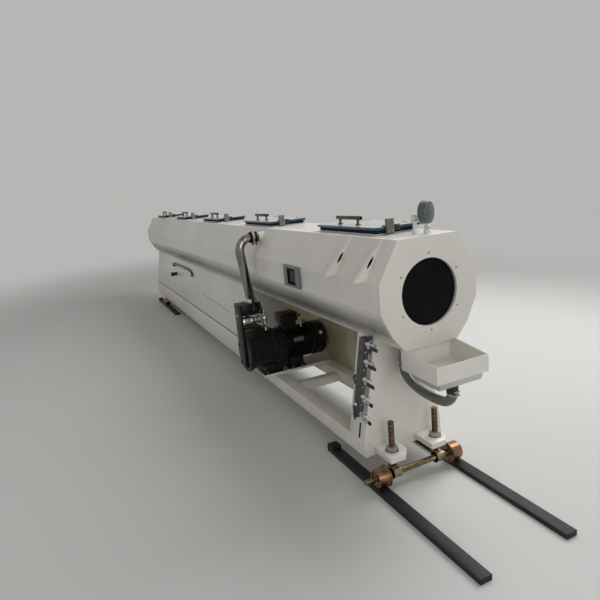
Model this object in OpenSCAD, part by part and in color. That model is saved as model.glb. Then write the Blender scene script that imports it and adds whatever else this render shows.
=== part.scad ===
// Vacuum calibration tank of a pipe line: a long folded-steel tank with lids,
// on a frame that runs on floor rails, with its pump set and valve manifold.
// Construction frame: x = 0 at the near end plate's outer face, x grows away
// from the tank, y = 0 on the tank's centre line with the operator at -y,
// z = 0 on the floor. placed() shifts it so that the origin is the middle of
// the whole machine's footprint.

/* [Tank] */
// Length of the tank over both end plates
tank_l = 6100; // [6000:20:6240]
// Height of the bores' centre line above the floor
line_h = 1000; // [970:10:1100]
// Half width of the flat top
top_half = 165; // [158:1:175]
// Half width at the upright side facets
side_half = 270; // [250:1:300]
// Half width at the foot of the lower slopes
low_half = 212; // [195:1:230]
// Half width of the flat bottom
bottom_half = 150; // [145:1:165]
// Height of the flat top above the centre line
top_rise = 253; // [240:1:280]
// Height of the upper crease above the centre line
upper_crease = 75; // [70:1:90]
// Depth of the lower crease below the centre line
lower_crease = 60; // [50:1:75]
// Depth of the foot of the lower slopes below the centre line
low_drop = 175; // [165:1:185]
// Depth of the flat bottom below the centre line
bottom_drop = 248; // [235:1:262]
// Sheet thickness of the tank
sheet_t = 5; // [4:0.5:8]
// Thickness of each end plate
end_t = 15; // [12:1:20]
// Radius of the bore in each end plate
bore_r = 155; // [140:1:162]
// Radius of the bolt circle around each bore
bolt_circle_r = 177; // [172:1:185]
// Radius of each bolt hole
bolt_hole_r = 5; // [4:0.5:6]
// Thickness of the rubber seal sheet behind each end plate
seal_t = 4; // [3:0.5:8]
// How far the seal sheet reaches past the bolt circle
seal_margin = 14; // [10:1:20]

/* [Lids] */
// Number of lids along the top
lid_count = 5; // [2:1:5]
// Gap between the last lid and the far end plate's outer face
lid_last_gap = 70; // [50:5:110]
// Length of a lid
lid_l = 610; // [520:5:630]
// Width of a lid
lid_w = 270; // [262:1:274]
// Thickness of a lid
lid_t = 12; // [8:1:16]
// Distance from the near end plate's face to the first lid
lid_start = 240; // [235:1:255]
// How far the lids' middle line stands off the tank's centre line, away from the operator
lid_y = 23; // [18:1:25]
// How far the gasket frame sits inside the lid's edge
gasket_inset = 14; // [8:1:18]
// Width of the gasket frame
gasket_w = 26; // [20:1:34]
// Height of the gasket frame
gasket_h = 20; // [14:1:26]
// Height of the flat bar collar under the gasket
collar_h = 5; // [4:1:8]
// Gap between a shut lid and its gasket
lid_gap = 0.3; // [0.2:0.1:1]
// Radius of a lid's hinge pin
pin_r = 5; // [4:0.5:6]
// Radial clearance of a hinge pin
pin_clear = 0.05; // [0.02:0.01:0.1]
// Length of a lid's handle tube
handle_l = 248; // [200:4:280]
// Radius of a handle tube
handle_r = 10; // [8:0.5:12]
// Height of a handle's tube above the lid
handle_rise = 36; // [32:1:50]
// Distance from the lid's middle to its handle, along the tank
handle_back = 55; // [20:5:80]
// Distance from the lid's middle to its handle, towards the operator
handle_side = 65; // [40:1:80]

/* [Tank fittings] */
// Places of the lifting gussets behind the near end plate
gusset_near = 112; // [90:1:150]
// Distance between the two pairs of gussets
gusset_pitch = 266; // [220:1:300]
// Thickness of a gusset
gusset_t = 8; // [6:1:12]
// How far a gusset's foot stands out past the upper crease
gusset_out = 58; // [45:1:65]
// Distance from the near end plate to the window
window_start = 785; // [700:5:900]
// Length of the window frame
window_l = 213; // [180:1:240]
// Height of the window frame
window_h = 126; // [110:1:128]
// Width of the window frame's uprights
window_upright = 56; // [40:1:66]
// Width of the window frame's top and bottom bars
window_border = 24; // [16:1:28]
// Thickness of the window frame
window_t = 14; // [10:1:18]
// Radius of the gauge's dial
gauge_r = 53; // [45:1:58]

/* [Drip tray] */
// How far the tray stands out in front of the near end plate
tray_out = 200; // [160:5:240]
// How far the tray reaches back under the tank
tray_back = 47; // [40:1:60]
// Half width of the tray
tray_half = 142; // [125:1:148]
// Depth of the tray below the tank's bottom
tray_depth = 104; // [90:1:120]
// Drop of the tray's rim towards its outer edge
tray_fall = 25; // [15:1:35]
// Sheet thickness of the tray
tray_t = 3; // [2:0.5:5]
// Depth of the hopper under the tray
hopper_h = 36; // [30:1:45]
// Radius of the drain hose
hose_r = 23; // [18:0.5:25]

/* [Frame] */
// Height of the underside of the beams above the floor
beam_z = 131; // [129:1:150]
// Height of a beam
beam_h = 83; // [70:1:95]
// Width of a beam
beam_w = 81; // [70:1:85]
// Wall thickness of a beam
beam_t = 5; // [4:0.5:8]
// Half width of the frame at its outer faces
frame_half = 243; // [240:1:260]
// Distance from the near end plate to the pedestal's face
pedestal_x = 255; // [250:1:275]
// Depth of each pedestal along the tank
pedestal_d = 150; // [130:5:190]
// Sheet thickness of the pedestals
pedestal_t = 6; // [5:0.5:8]
// How far the frame reaches past the far end plate
frame_over = 7; // [0:1:20]
// Distance from the near end plate to the near end of the water box
box_near = 2150; // [1900:10:2300]
// Sheet thickness of the water box
box_t = 4; // [3:0.5:6]
// Height of the plinth strip below the dark gap in the box's sides
plinth_h = 86; // [70:1:100]
// Height of the dark gap in the box's sides
side_gap = 9; // [6:1:14]

/* [Running gear] */
// Distance from the near end plate to the near axle
axle_x = 148; // [144:1:152]
// Distance from the near end plate to the jack screws
jack_x = 172; // [168:1:176]
// Distance from the far end plate's outer face back to the far axle
far_axle_back = 512; // [500:4:560]
// Height of a rail
rail_h = 25; // [20:1:30]
// Width of a rail
rail_w = 60; // [50:1:70]
// Distance from the centre line to the middle of a rail
rail_y = 235; // [230:1:245]
// Length of a rail
rail_l = 1200; // [1150:10:1260]
// Distance from the near end plate to the near rails' inner ends
rail_in = 645; // [640:5:700]
// Rolling radius of a wheel
wheel_r = 46.8; // [44:0.2:48]
// Gap between a wheel and its rail
wheel_gap = 0.2; // [0.1:0.1:0.4]
// Radius of a wheel's flange
flange_r = 54; // [50:1:56]
// Radius of an axle
axle_r = 16; // [13:0.5:17]
// Radius of the round housings on the axles
bearing_r = 26; // [24:1:30]
// Distance from the centre line to a jack screw
jack_y = 136; // [130:1:140]
// Radius of a jack screw
jack_r = 16; // [13:0.5:17]
// Height of a jack screw's top above the floor
jack_top = 338; // [300:1:360]
// Height of the top of the foot plates
foot_z = 180; // [175:1:190]
// Thickness of a foot plate
foot_t = 30; // [24:1:34]

/* [Pump set] */
// Distance from the near end plate to the pump's axis
pump_x = 1530; // [1480:5:1640]
// Height of the pump's axis
pump_z = 405; // [395:1:415]
// Radius of the motor's fan cowl
motor_r = 125; // [115:1:128]
// Distance from the centre line to the fan cowl's end
motor_end = 182; // [175:1:184]
// Length of the motor with its cowl
motor_l = 330; // [300:5:350]
// Distance from the centre line to the pump's outer face
pump_out = 440; // [425:1:460]
// Radius of the pump's casing
casing_r = 140; // [125:1:145]
// Radius of the suction pipe
suction_r = 30; // [26:1:34]

/* [Manifold] */
// Width of the manifold bar
manifold_w = 36; // [30:1:42]
// Depth of the manifold bar along the tank
manifold_d = 42; // [36:1:50]
// Gap between the pedestal's side and the manifold bar
manifold_gap = 24; // [18:1:30]
// Depth of the highest valve below the tank's bottom
valve_drop = 16; // [14:1:30]
// Distance from one valve to the next
valve_pitch = 88; // [88:1:94]
// Length of a valve's lever from its stem
lever_l = 74; // [60:1:74]

/* [Hidden] */

$fn = 48;

// Heights worked out from the centre line
top_z = line_h + top_rise;
crease_z = line_h + upper_crease;
lower_z = line_h - lower_crease;
low_z = line_h - low_drop;
bottom_z = line_h - bottom_drop;
beam_top = beam_z + beam_h;

// Tank outline in (y, z), anticlockwise from the right of the flat bottom
outline = [[bottom_half, bottom_z], [low_half, low_z], [side_half, lower_z],
    [side_half, crease_z], [top_half, top_z], [-top_half, top_z], [-side_half, crease_z],
    [-side_half, lower_z], [-low_half, low_z], [-bottom_half, bottom_z]];

function unit(v) = v / norm(v);
function inward(a, b) = unit([a[1] - b[1], b[0] - a[0]]);
function inset_corner(p, i, t) =
    let (n = len(p), a = inward(p[(i + n - 1) % n], p[i]), b = inward(p[i], p[(i + 1) % n]))
    p[i] + t * (a + b) / (1 + a * b);
function inset(p, t) = [for (i = [0:len(p) - 1]) inset_corner(p, i, t)];
function reversed(p) = [for (i = [len(p) - 1:-1:0]) p[i]];

inner = inset(outline, sheet_t);

// Places along the machine, measured from the near end plate
rail_near = rail_l - rail_in;
frame_far = tank_l + frame_over;
far_axle_x = tank_l - far_axle_back;
wheel_base = far_axle_x - axle_x;
x_near = max(rail_near, tray_out);
x_far = max(frame_far, tank_l, rail_in + wheel_base);
mid_x = (x_near - x_far) / 2;
lever_w = 18;
lever_t = 9;
y_right = max(side_half + gusset_out, rail_y + rail_w / 2);
mid_y = (y_right - pump_out) / 2;
axle_z = rail_h + wheel_gap + wheel_r;

// Lid stack on the flat top
gasket_z = top_z + collar_h;
lid_z = gasket_z + gasket_h + lid_gap;
hinge_y = lid_y + lid_w / 2 + 12;
hinge_z = lid_z + lid_t / 2;
knuckle_r = pin_r + 4;
knuckle_l = 46;
knuckle_at = lid_l / 3;
ear_t = 8;
ear_gap = 1;
lid_pitch = (tank_l - lid_start - lid_last_gap - lid_l) / (lid_count - 1);
hatch_l = lid_l - 2 * (gasket_inset + gasket_w);
hatch_w = lid_w - 2 * (gasket_inset + gasket_w);

// Half width of the tapered sides of the pedestals and the water box at a height
function taper(z) =
    bottom_half + (frame_half - bottom_half) * (bottom_z - z) / (bottom_z - beam_top);

// Drain hose from the tray's hopper round to the tank's drain, as places from the near end
// plate, the centre line and the tank's bottom
hose_route = [[150, -20, -160], [150, -20, -180], [144, -19, -203], [125, -19, -226],
    [95, -18, -242], [50, -17, -250], [0, -16, -253], [-50, -15, -252], [-100, -13, -246],
    [-145, -12, -235], [-180, -11, -219], [-203, -10, -198], [-213, -10, -174],
    [-215, -10, -152]];
hose_points = [for (p = hose_route) p + [0, 0, bottom_z]];
hose_start = hose_points[0];
hose_end = hose_points[len(hose_points) - 1];

module placed() translate([-mid_x, -mid_y, 0]) children();
module box(lo, hi) translate(lo) cube(hi - lo);
module along_x(x0, x1) translate([x0, 0, 0]) rotate([90, 0, 90]) linear_extrude(x1 - x0) children();
module along_y(y0, y1) translate([0, y1, 0]) rotate([90, 0, 0]) linear_extrude(y1 - y0) children();
module rod_x(x0, x1, y, z, r) translate([x0, y, z]) rotate([0, 90, 0]) cylinder(h = x1 - x0, r = r);
module rod_y(y0, y1, x, z, r) translate([x, y0, z]) rotate([-90, 0, 0]) cylinder(h = y1 - y0, r = r);
module rod_z(z0, z1, x, y, r) translate([x, y, z0]) cylinder(h = z1 - z0, r = r);
module rounded(l, w, r) {
    square([l - 2 * r, w], center = true);
    square([l, w - 2 * r], center = true);
    for (sx = [-1, 1], sy = [-1, 1])
        translate([sx * (l / 2 - r), sy * (w / 2 - r)]) circle(r);
}

// Tank shell
module facets(first, last) {
    picks = [for (i = [first:last]) i % len(outline)];
    along_x(-tank_l + end_t, -end_t)
        polygon(concat([for (i = picks) outline[i]], reversed([for (i = picks) inner[i]])));
}
function lid_x(i) = -lid_start - lid_l / 2 - (i - 1) * lid_pitch;

module tank_top_plate() {
    color("white") placed()
        difference() {
            facets(4, 5);
            for (i = [1:lid_count])
                translate([lid_x(i), lid_y, top_z - 2 * sheet_t])
                    linear_extrude(3 * sheet_t) square([hatch_l, hatch_w], center = true);
        }
}
module tank_left_wall() {
    glass_h = window_h - 2 * window_border;
    color("white") placed()
        difference() {
            facets(5, 8);
            box([-window_start - window_l + window_upright, -side_half - 1, window_z - glass_h / 2],
                [-window_start - window_upright, -side_half + 2 * sheet_t, window_z + glass_h / 2]);
        }
}
module tank_right_wall() {
    color("white") placed() facets(1, 4);
}
module tank_bottom_pan() {
    color("white") placed() facets(8, 11);
}
module end_plate(x0) {
    difference() {
        along_x(x0, x0 + end_t) polygon(outline);
        rod_x(x0 - 1, x0 + end_t + 1, 0, line_h, bore_r);
        for (k = [0:5])
            rod_x(x0 - 1, x0 + end_t + 1, bolt_circle_r * sin(60 * k),
                line_h + bolt_circle_r * cos(60 * k), bolt_hole_r);
    }
}
module near_end_plate() {
    color("white") placed() end_plate(-end_t);
}
module far_end_plate() {
    color("white") placed() end_plate(-tank_l);
}
module seal_sheets() {
    color("black") placed() {
        rod_x(-end_t - seal_t, -end_t, 0, line_h, bolt_circle_r + seal_margin);
        rod_x(-tank_l + end_t, -tank_l + end_t + seal_t, 0, line_h, bolt_circle_r + seal_margin);
    }
}

// Triangular gussets on the upper slopes, each with a lens-shaped lifting hole
module gusset(x, side) {
    hole_share = 0.54;
    hole_half_l = 33;
    hole_half_w = 6.5;
    arc_r = (pow(hole_half_l, 2) + pow(hole_half_w, 2)) / (2 * hole_half_w);
    foot_mid = side_half + gusset_out / 2;
    lean = atan2(foot_mid - top_half, top_z - crease_z);
    difference() {
        along_x(x - gusset_t / 2, x + gusset_t / 2)
            polygon([[side * top_half, top_z], [side * side_half, crease_z],
                [side * (side_half + gusset_out), crease_z]]);
        translate([x, side * (top_half + hole_share * (foot_mid - top_half)),
            top_z - hole_share * (top_z - crease_z)])
            rotate([side * lean, 0, 0])
                intersection() {
                    rod_x(-gusset_t, gusset_t, arc_r - hole_half_w, 0, arc_r);
                    rod_x(-gusset_t, gusset_t, hole_half_w - arc_r, 0, arc_r);
                }
    }
}
module lifting_gussets() {
    color("white") placed()
        for (k = [0, 1], side = [-1, 1])
            gusset(-gusset_near - k * gusset_pitch, side);
}

// Lid collars with hinge ears, gaskets and lids
module frame_ring(l, w, border) {
    difference() {
        square([l, w], center = true);
        square([l - 2 * border, w - 2 * border], center = true);
    }
}
module hinge_ear(x) {
    foot_drop = 20;
    translate([x, 0, 0]) {
        difference() {
            box([-ear_t / 2, hinge_y - knuckle_r, top_z - foot_drop],
                [ear_t / 2, hinge_y + knuckle_r, hinge_z]);
            along_x(-ear_t, ear_t) polygon(outline);
        }
        rod_x(-ear_t / 2, ear_t / 2, hinge_y, hinge_z, knuckle_r);
    }
}
module hatch_collars() {
    reach = knuckle_l / 2 + ear_gap + ear_t / 2;
    color("gainsboro") placed()
        for (i = [1:lid_count]) {
            translate([lid_x(i), lid_y, top_z])
                linear_extrude(collar_h)
                    frame_ring(lid_l - 2 * gasket_inset, lid_w - 2 * gasket_inset, gasket_w);
            for (sx = [-1, 1]) {
                hinge_ear(lid_x(i) + sx * knuckle_at - reach);
                hinge_ear(lid_x(i) + sx * knuckle_at + reach);
                rod_x(lid_x(i) + sx * knuckle_at - reach, lid_x(i) + sx * knuckle_at + reach,
                    hinge_y, hinge_z, pin_r);
            }
        }
}
module hatch_gaskets() {
    color("midnightblue") placed()
        for (i = [1:lid_count])
            translate([lid_x(i), lid_y, gasket_z])
                linear_extrude(gasket_h)
                    frame_ring(lid_l - 2 * gasket_inset, lid_w - 2 * gasket_inset, gasket_w);
}
module lid(i) {
    handle_x = lid_x(i) - handle_back;
    handle_y = lid_y - handle_side;
    tube_z = lid_z + lid_t + handle_rise;
    leg_r = 7;
    lid_end = lid_x(i) + lid_l / 2;
    clamp_y = lid_y - 80;
    color("powderblue") placed()
        difference() {
            union() {
                translate([lid_x(i), lid_y, lid_z]) linear_extrude(lid_t) rounded(lid_l, lid_w, 16);
                rod_x(handle_x - handle_l / 2, handle_x + handle_l / 2, handle_y, tube_z, handle_r);
                for (sx = [-1, 1])
                    rod_z(lid_z + lid_t - 1, tube_z, handle_x + sx * 0.37 * handle_l, handle_y, leg_r);
                box([lid_end - 4, clamp_y, lid_z - 20], [lid_end + 18, clamp_y + 40, lid_z + 50]);
                box([lid_end - 2, clamp_y + 39, lid_z - 8], [lid_end + 14, clamp_y + 80, lid_z + 20]);
                for (sx = [-1, 1]) {
                    knuckle = lid_x(i) + sx * knuckle_at;
                    rod_x(knuckle - knuckle_l / 2, knuckle + knuckle_l / 2,
                        hinge_y, hinge_z, knuckle_r);
                    box([knuckle - knuckle_l / 2, lid_y + lid_w / 2 - 2, lid_z],
                        [knuckle + knuckle_l / 2, hinge_y, lid_z + lid_t]);
                }
            }
            for (sx = [-1, 1]) {
                knuckle = lid_x(i) + sx * knuckle_at;
                rod_x(knuckle - knuckle_l, knuckle + knuckle_l, hinge_y, hinge_z, pin_r + pin_clear);
            }
        }
}

// Window in the operator-side facet
window_z = (crease_z + lower_z) / 2;
module window_frame() {
    color("gray") placed()
        difference() {
            box([-window_start - window_l, -side_half - window_t, window_z - window_h / 2],
                [-window_start, -side_half, window_z + window_h / 2]);
            box([-window_start - window_l + window_upright, -side_half - window_t - 1,
                window_z - window_h / 2 + window_border],
                [-window_start - window_upright, -side_half + 1,
                window_z + window_h / 2 - window_border]);
        }
}
module window_glass() {
    color("darkslategray") placed()
        box([-window_start - window_l + window_upright, -side_half - window_t / 2,
            window_z - window_h / 2 + window_border],
            [-window_start - window_upright, -side_half - window_t / 2 + 6,
            window_z + window_h / 2 - window_border]);
}

// Fittings on the tank's top
gauge_x = -86;
gauge_y = 65;
gauge_z = top_z + 94;
relief_x = gauge_x - 56;
relief_y = gauge_y - 25;
module pressure_gauge() {
    color("dimgray") placed() {
        rod_z(top_z, top_z + 18, gauge_x, gauge_y, 16);
        rod_z(top_z + 18, gauge_z, gauge_x, gauge_y, 7);
        translate([gauge_x, gauge_y, gauge_z])
            rotate([90, 0, 115]) cylinder(h = 40, r = gauge_r, center = true);
    }
}
module relief_valve() {
    color("white") placed() {
        rod_z(top_z, top_z + 53, relief_x, relief_y, 10);
        rod_z(top_z + 53, top_z + 87, relief_x, relief_y, 17);
    }
}

// Drip tray, hopper, drain and hose
tray_z = bottom_z - tray_depth;
module tray_profile(x0, x1, base) {
    polygon([[x0, base], [x1, base], [x1, bottom_z - tray_fall], [0, bottom_z], [x0, bottom_z]]);
}
module drip_tray() {
    color("white") placed()
        difference() {
            along_y(-tray_half, tray_half) tray_profile(-tray_back, tray_out, tray_z);
            along_y(-tray_half + tray_t, tray_half - tray_t)
                translate([0, tray_t])
                    tray_profile(-tray_back + tray_t, tray_out - tray_t, tray_z);
        }
}
module tray_hopper() {
    color("gainsboro") placed() {
        along_y(-tray_half + 24, tray_half - 24)
            polygon([[-tray_back + 24, tray_z], [tray_out - 6, tray_z],
                [tray_out - 18, tray_z - hopper_h], [-tray_back + 54, tray_z - hopper_h]]);
        rod_z(hose_start[2], tray_z - hopper_h, hose_start[0], hose_start[1], hose_r);
    }
}
module tank_drain() {
    color("dimgray") placed() {
        rod_z(hose_end[2], bottom_z, hose_end[0], hose_end[1], hose_r - 2);
        rod_z(hose_end[2] + 14, hose_end[2] + 38, hose_end[0], hose_end[1], hose_r + 5);
    }
}
hose_sides = 10;
function hose_dir(i) =
    let (n = len(hose_points) - 1)
    i == 0 || i == n ? [0, 0, i == 0 ? -1 : 1] : unit(hose_points[i + 1] - hose_points[i - 1]);
function hose_ring(i) =
    let (d = hose_dir(i), side = [0, 1, 0], up = cross(d, side), s = unit(cross(up, d)), u = unit(up))
    [for (k = [0:hose_sides - 1])
        hose_points[i] + hose_r * (s * cos(360 * k / hose_sides) + u * sin(360 * k / hose_sides))];
module drain_hose() {
    n = len(hose_points);
    m = hose_sides;
    rings = [for (i = [0:n - 1]) each hose_ring(i)];
    walls = [for (i = [0:n - 2], k = [0:m - 1])
        [i * m + k, i * m + (k + 1) % m, (i + 1) * m + (k + 1) % m, (i + 1) * m + k]];
    ends = [[for (k = [m - 1:-1:0]) k], [for (k = [0:m - 1]) (n - 1) * m + k]];
    color("silver") placed() polyhedron(rings, concat(walls, ends), convexity = 6);
}

// Pedestals, beams and cross bars
module tapered_side(x0, x1, z0, z1, t, side) {
    along_x(x0, x1)
        polygon([[side * taper(z0), z0], [side * taper(z1), z1],
            [side * (taper(z1) - t), z1], [side * (taper(z0) - t), z0]]);
}
module pedestal(front, back) {
    along_x(front - pedestal_t, front)
        polygon([[-frame_half, beam_z], [frame_half, beam_z], [frame_half, beam_top],
            [bottom_half, bottom_z], [-bottom_half, bottom_z], [-frame_half, beam_top]]);
    for (side = [-1, 1])
        tapered_side(back, front - pedestal_t, beam_top, bottom_z, pedestal_t, side);
}
module near_pedestal() {
    color("white") placed()
        difference() {
            pedestal(-pedestal_x, -pedestal_x - pedestal_d);
            box([-pedestal_x - 62, -frame_half - 1, beam_top + 8],
                [-pedestal_x - 48, -frame_half + 40, beam_top + 88]);
        }
}
module far_pedestal() {
    color("white") placed()
        along_x(-frame_far, -frame_far + pedestal_t)
            polygon([[-frame_half, beam_z], [frame_half, beam_z], [frame_half, beam_top],
                [bottom_half, bottom_z], [-bottom_half, bottom_z], [-frame_half, beam_top]]);
}
module frame_beams() {
    color("white") placed()
        for (side = [-1, 1])
            along_x(-frame_far + pedestal_t, -pedestal_x - pedestal_t)
                translate([side * (frame_half - beam_w / 2), beam_z + beam_h / 2])
                    frame_ring(beam_w, beam_h, beam_t);
}
bar_w = 60;
bar_places = [-pedestal_x - pedestal_d, -pump_x + 260, -box_near, -(box_near + far_axle_x) / 2,
    -far_axle_x];
module cross_bars() {
    color("white") placed()
        for (x = bar_places)
            box([x - bar_w / 2, -frame_half + beam_w, beam_z], [x + bar_w / 2, frame_half - beam_w,
                beam_z + bar_w]);
}

// Tapered water box below the far part of the tank
box_far = frame_far - pedestal_t;
outlet_x = -4795;
outlet_z = 560;
outlet_l = 76;
outlet_r = 25;
module water_box_sides() {
    color("white") placed()
        for (side = [-1, 1]) {
            tapered_side(-box_far, -box_near, beam_top, beam_top + plinth_h, box_t, side);
            tapered_side(-box_far, -box_near, beam_top + plinth_h + side_gap, bottom_z,
                box_t, side);
        }
}
module box_outlet() {
    color("black") placed()
        difference() {
            rod_y(-taper(outlet_z) - outlet_l, 0, outlet_x, outlet_z, outlet_r);
            along_x(outlet_x - 2 * outlet_r, outlet_x + 2 * outlet_r)
                polygon([[-taper(beam_top), beam_top], [-taper(bottom_z), bottom_z],
                    [outlet_r, bottom_z], [outlet_r, beam_top]]);
        }
}
module water_box_ends() {
    color("white") placed()
        for (x = [-box_near - box_t, -box_far])
            along_x(x, x + box_t)
                polygon([[-taper(beam_top) + box_t, beam_top], [taper(beam_top) - box_t, beam_top],
                    [taper(bottom_z) - box_t, bottom_z], [-taper(bottom_z) + box_t, bottom_z]]);
}
module water_box_floor() {
    inside = frame_half - 2 * box_t;
    color("white") placed()
        box([-box_far + box_t, -inside, beam_top], [-box_near - box_t, inside, beam_top + box_t]);
}
module bay_panel() {
    color("tan") placed()
        tapered_side(-box_near, -pedestal_x - pedestal_d, beam_top, bottom_z, box_t, 1);
}

// Foot plates, jack screws and running gear
foot_in = 62;
foot_out = 190;
foot_reach = 105;
module foot_plates() {
    color("white") placed()
        for (y0 = [-foot_out, foot_in])
            difference() {
                translate([0, y0, foot_z - foot_t])
                    linear_extrude(foot_t)
                        polygon([[-pedestal_x, 0], [-foot_reach, 0],
                            [-foot_reach, foot_out - foot_in - 42],
                            [-foot_reach - 48, foot_out - foot_in],
                            [-pedestal_x, foot_out - foot_in]]);
                rod_z(foot_z - foot_t - 1, foot_z + 1, -jack_x, y0 < 0 ? -jack_y : jack_y,
                    jack_r + 1);
            }
}
nut_h = 26;
nut_r = 31;
bearing_half = 25;
post_half = 19;
post_top = axle_z + bearing_r + 4;
module jack_screws() {
    color("darkgoldenrod") placed()
        for (y = [-jack_y, jack_y]) {
            rod_z(post_top, jack_top, -jack_x, y, jack_r);
            translate([-jack_x, y, foot_z]) cylinder(h = nut_h, r = nut_r, $fn = 6);
            translate([-jack_x, y, foot_z - foot_t - nut_h]) cylinder(h = nut_h, r = nut_r, $fn = 6);
        }
}
// A round housing on an axle at x, with a square post at post_x up to a height
module bearing(x, y, post_x, top) {
    difference() {
        union() {
            rod_y(y - bearing_half, y + bearing_half, x, axle_z, bearing_r);
            box([post_x - post_half, y - post_half, axle_z - post_half / 2],
                [max(post_x + post_half, x), y + post_half, top]);
        }
        rod_y(y - bearing_half - 1, y + bearing_half + 1, x, axle_z, axle_r + pin_clear);
    }
}
module axle_bearings() {
    hanger_y = frame_half - beam_w - bearing_half - 4;
    color("goldenrod") placed() {
        for (y = [-jack_y, jack_y])
            bearing(-axle_x, y, -jack_x, post_top);
        for (y = [-hanger_y, hanger_y])
            bearing(-far_axle_x, y, -far_axle_x, beam_z);
    }
}
flange_t = 11;
flange_gap = 5;
tread_w = 58;
stub_l = 62;
module wheelset(x, left_stub) {
    inner_y = rail_y - rail_w / 2 - flange_t - flange_gap;
    outer_y = inner_y + flange_t + tread_w;
    rod_y(-outer_y - left_stub, outer_y + 14, x, axle_z, axle_r);
    for (side = [-1, 1]) {
        rod_y(min(side * inner_y, side * outer_y), max(side * inner_y, side * outer_y),
            x, axle_z, wheel_r);
        rod_y(min(side * inner_y, side * (inner_y + flange_t)),
            max(side * inner_y, side * (inner_y + flange_t)), x, axle_z, flange_r);
    }
}
module near_wheelset() {
    color("goldenrod") placed() wheelset(-axle_x, stub_l);
}
module far_wheelset() {
    color("goldenrod") placed() wheelset(-far_axle_x, 14);
}
stop_l = 60;
stop_h = 20;
module floor_rails() {
    color("black") placed()
        for (start = [-rail_in, -rail_in - wheel_base], side = [-1, 1])
            translate([start, side * rail_y - rail_w / 2, 0])
                cube([rail_l, rail_w, rail_h]);
}
module rail_stops() {
    color("black") placed()
        for (start = [-rail_in, -rail_in - wheel_base], side = [-1, 1])
            translate([start, side * rail_y - rail_w / 2, rail_h])
                cube([stop_l, rail_w, stop_h]);
}

// Pump set on its base plate
plate_t = 8;
plate_x = -pump_x + 92;
plate_w = 212;
plate_z = beam_top;
plate_out = 322;
plate_in = 208;
module pump_base() {
    color("gainsboro") placed() {
        box([plate_x - plate_w, -plate_out, plate_z], [plate_x, plate_in, plate_z + plate_t]);
        box([plate_x - 4, -plate_out, plate_z + plate_t], [plate_x, plate_in, plate_z + plate_t + 10]);
    }
}
module pump_motor() {
    drum = motor_end - 84;
    start = motor_end - motor_l;
    color("black") placed() {
        rod_y(drum, motor_end - 12, -pump_x, pump_z, motor_r);
        rod_y(motor_end - 12, motor_end, -pump_x, pump_z, motor_r - 12);
        rod_y(start, drum, -pump_x, pump_z, motor_r - 8);
        box([-pump_x - 90, start + 30, plate_z + plate_t], [-pump_x + 80, drum, pump_z - 60]);
    }
}
module terminal_box() {
    color("black") placed()
        difference() {
            box([-pump_x - 55, motor_end - motor_l, pump_z + motor_r - 40],
                [-pump_x + 55, -10, pump_z + motor_r + 108]);
            rod_y(-motor_l, motor_end, -pump_x, pump_z, motor_r - 8);
        }
}

// Pump head: casing with its port housing, a bracket plate up to the tank and a header block,
// with the fittings in the gap between housing and header
header_top = bottom_z + 4;
casing_top = pump_z + casing_r;
housing_top = casing_top + 0.21 * (header_top - casing_top);
header_low = casing_top + 0.61 * (header_top - casing_top);
bracket_t = 20;
bracket_near = -pump_x + 50;
bracket_far = -pump_x - 70;
header_in = -290;
union_r = (header_low - housing_top) / 2 - 8;
run_x = -pump_x + 20;
run_z = (housing_top + header_low) / 2;
module pump_head() {
    start = motor_end - motor_l;
    foot_w = 0.6 * casing_r;
    color("black") placed() {
        rod_y(-pump_out + bracket_t, start, -pump_x, pump_z, casing_r);
        box([-pump_x - foot_w, -pump_out + bracket_t, pump_z],
            [-pump_x + foot_w - 8, header_in, housing_top]);
        box([bracket_far, -pump_out, pump_z - 100], [bracket_near, -pump_out + bracket_t, header_top]);
        box([bracket_far, -pump_out + bracket_t, header_low], [bracket_near, header_in, header_top]);
        box([-pump_x - foot_w, header_in - 20, plate_z + plate_t],
            [-pump_x + foot_w, start, pump_z - 60]);
    }
}
module pump_fittings() {
    union_in = -pump_out + bracket_t + 75;
    down_y = header_in + 38;
    color("silver") placed() {
        rod_y(-pump_out + bracket_t, union_in, run_x, run_z, union_r);
        rod_y(union_in, down_y + 24, run_x, run_z, 0.56 * union_r);
        rod_y(header_in - 12, header_in + 16, run_x, run_z, 0.8 * union_r);
        difference() {
            rod_z(casing_top - 14, run_z, run_x, down_y, 0.5 * union_r);
            rod_y(-pump_out, 0, -pump_x, pump_z, casing_r);
        }
    }
}
pipe_lean = 6.4;
elbow_r = 85;
elbow_at = [-368, line_h + 108];
module suction_pipe() {
    centre = elbow_at + elbow_r * [cos(pipe_lean), sin(pipe_lean)];
    stub_z = centre[1] + elbow_r;
    socket_z = header_top + 30;
    run = (elbow_at[1] - socket_z) / cos(pipe_lean);
    foot_y = elbow_at[0] + (elbow_at[1] - socket_z) * tan(pipe_lean);
    color("silver") placed()
        translate([-pump_x, 0, 0]) {
            rod_z(header_top, socket_z, 0, foot_y, suction_r + 14);
            translate([0, elbow_at[0], elbow_at[1]]) rotate([180 + pipe_lean, 0, 0])
                cylinder(h = run, r = suction_r);
            translate([0, centre[0], centre[1]]) rotate([90, 0, 90]) rotate([0, 0, 90])
                rotate_extrude(angle = 90 + pipe_lean) translate([elbow_r, 0]) circle(suction_r + 1);
            difference() {
                rod_y(centre[0], -150, 0, stub_z, suction_r);
                along_x(-100, 100) polygon(outline);
            }
            rod_y(centre[0] + 6, centre[0] + 26, 0, stub_z, suction_r + 13);
        }
}

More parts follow.
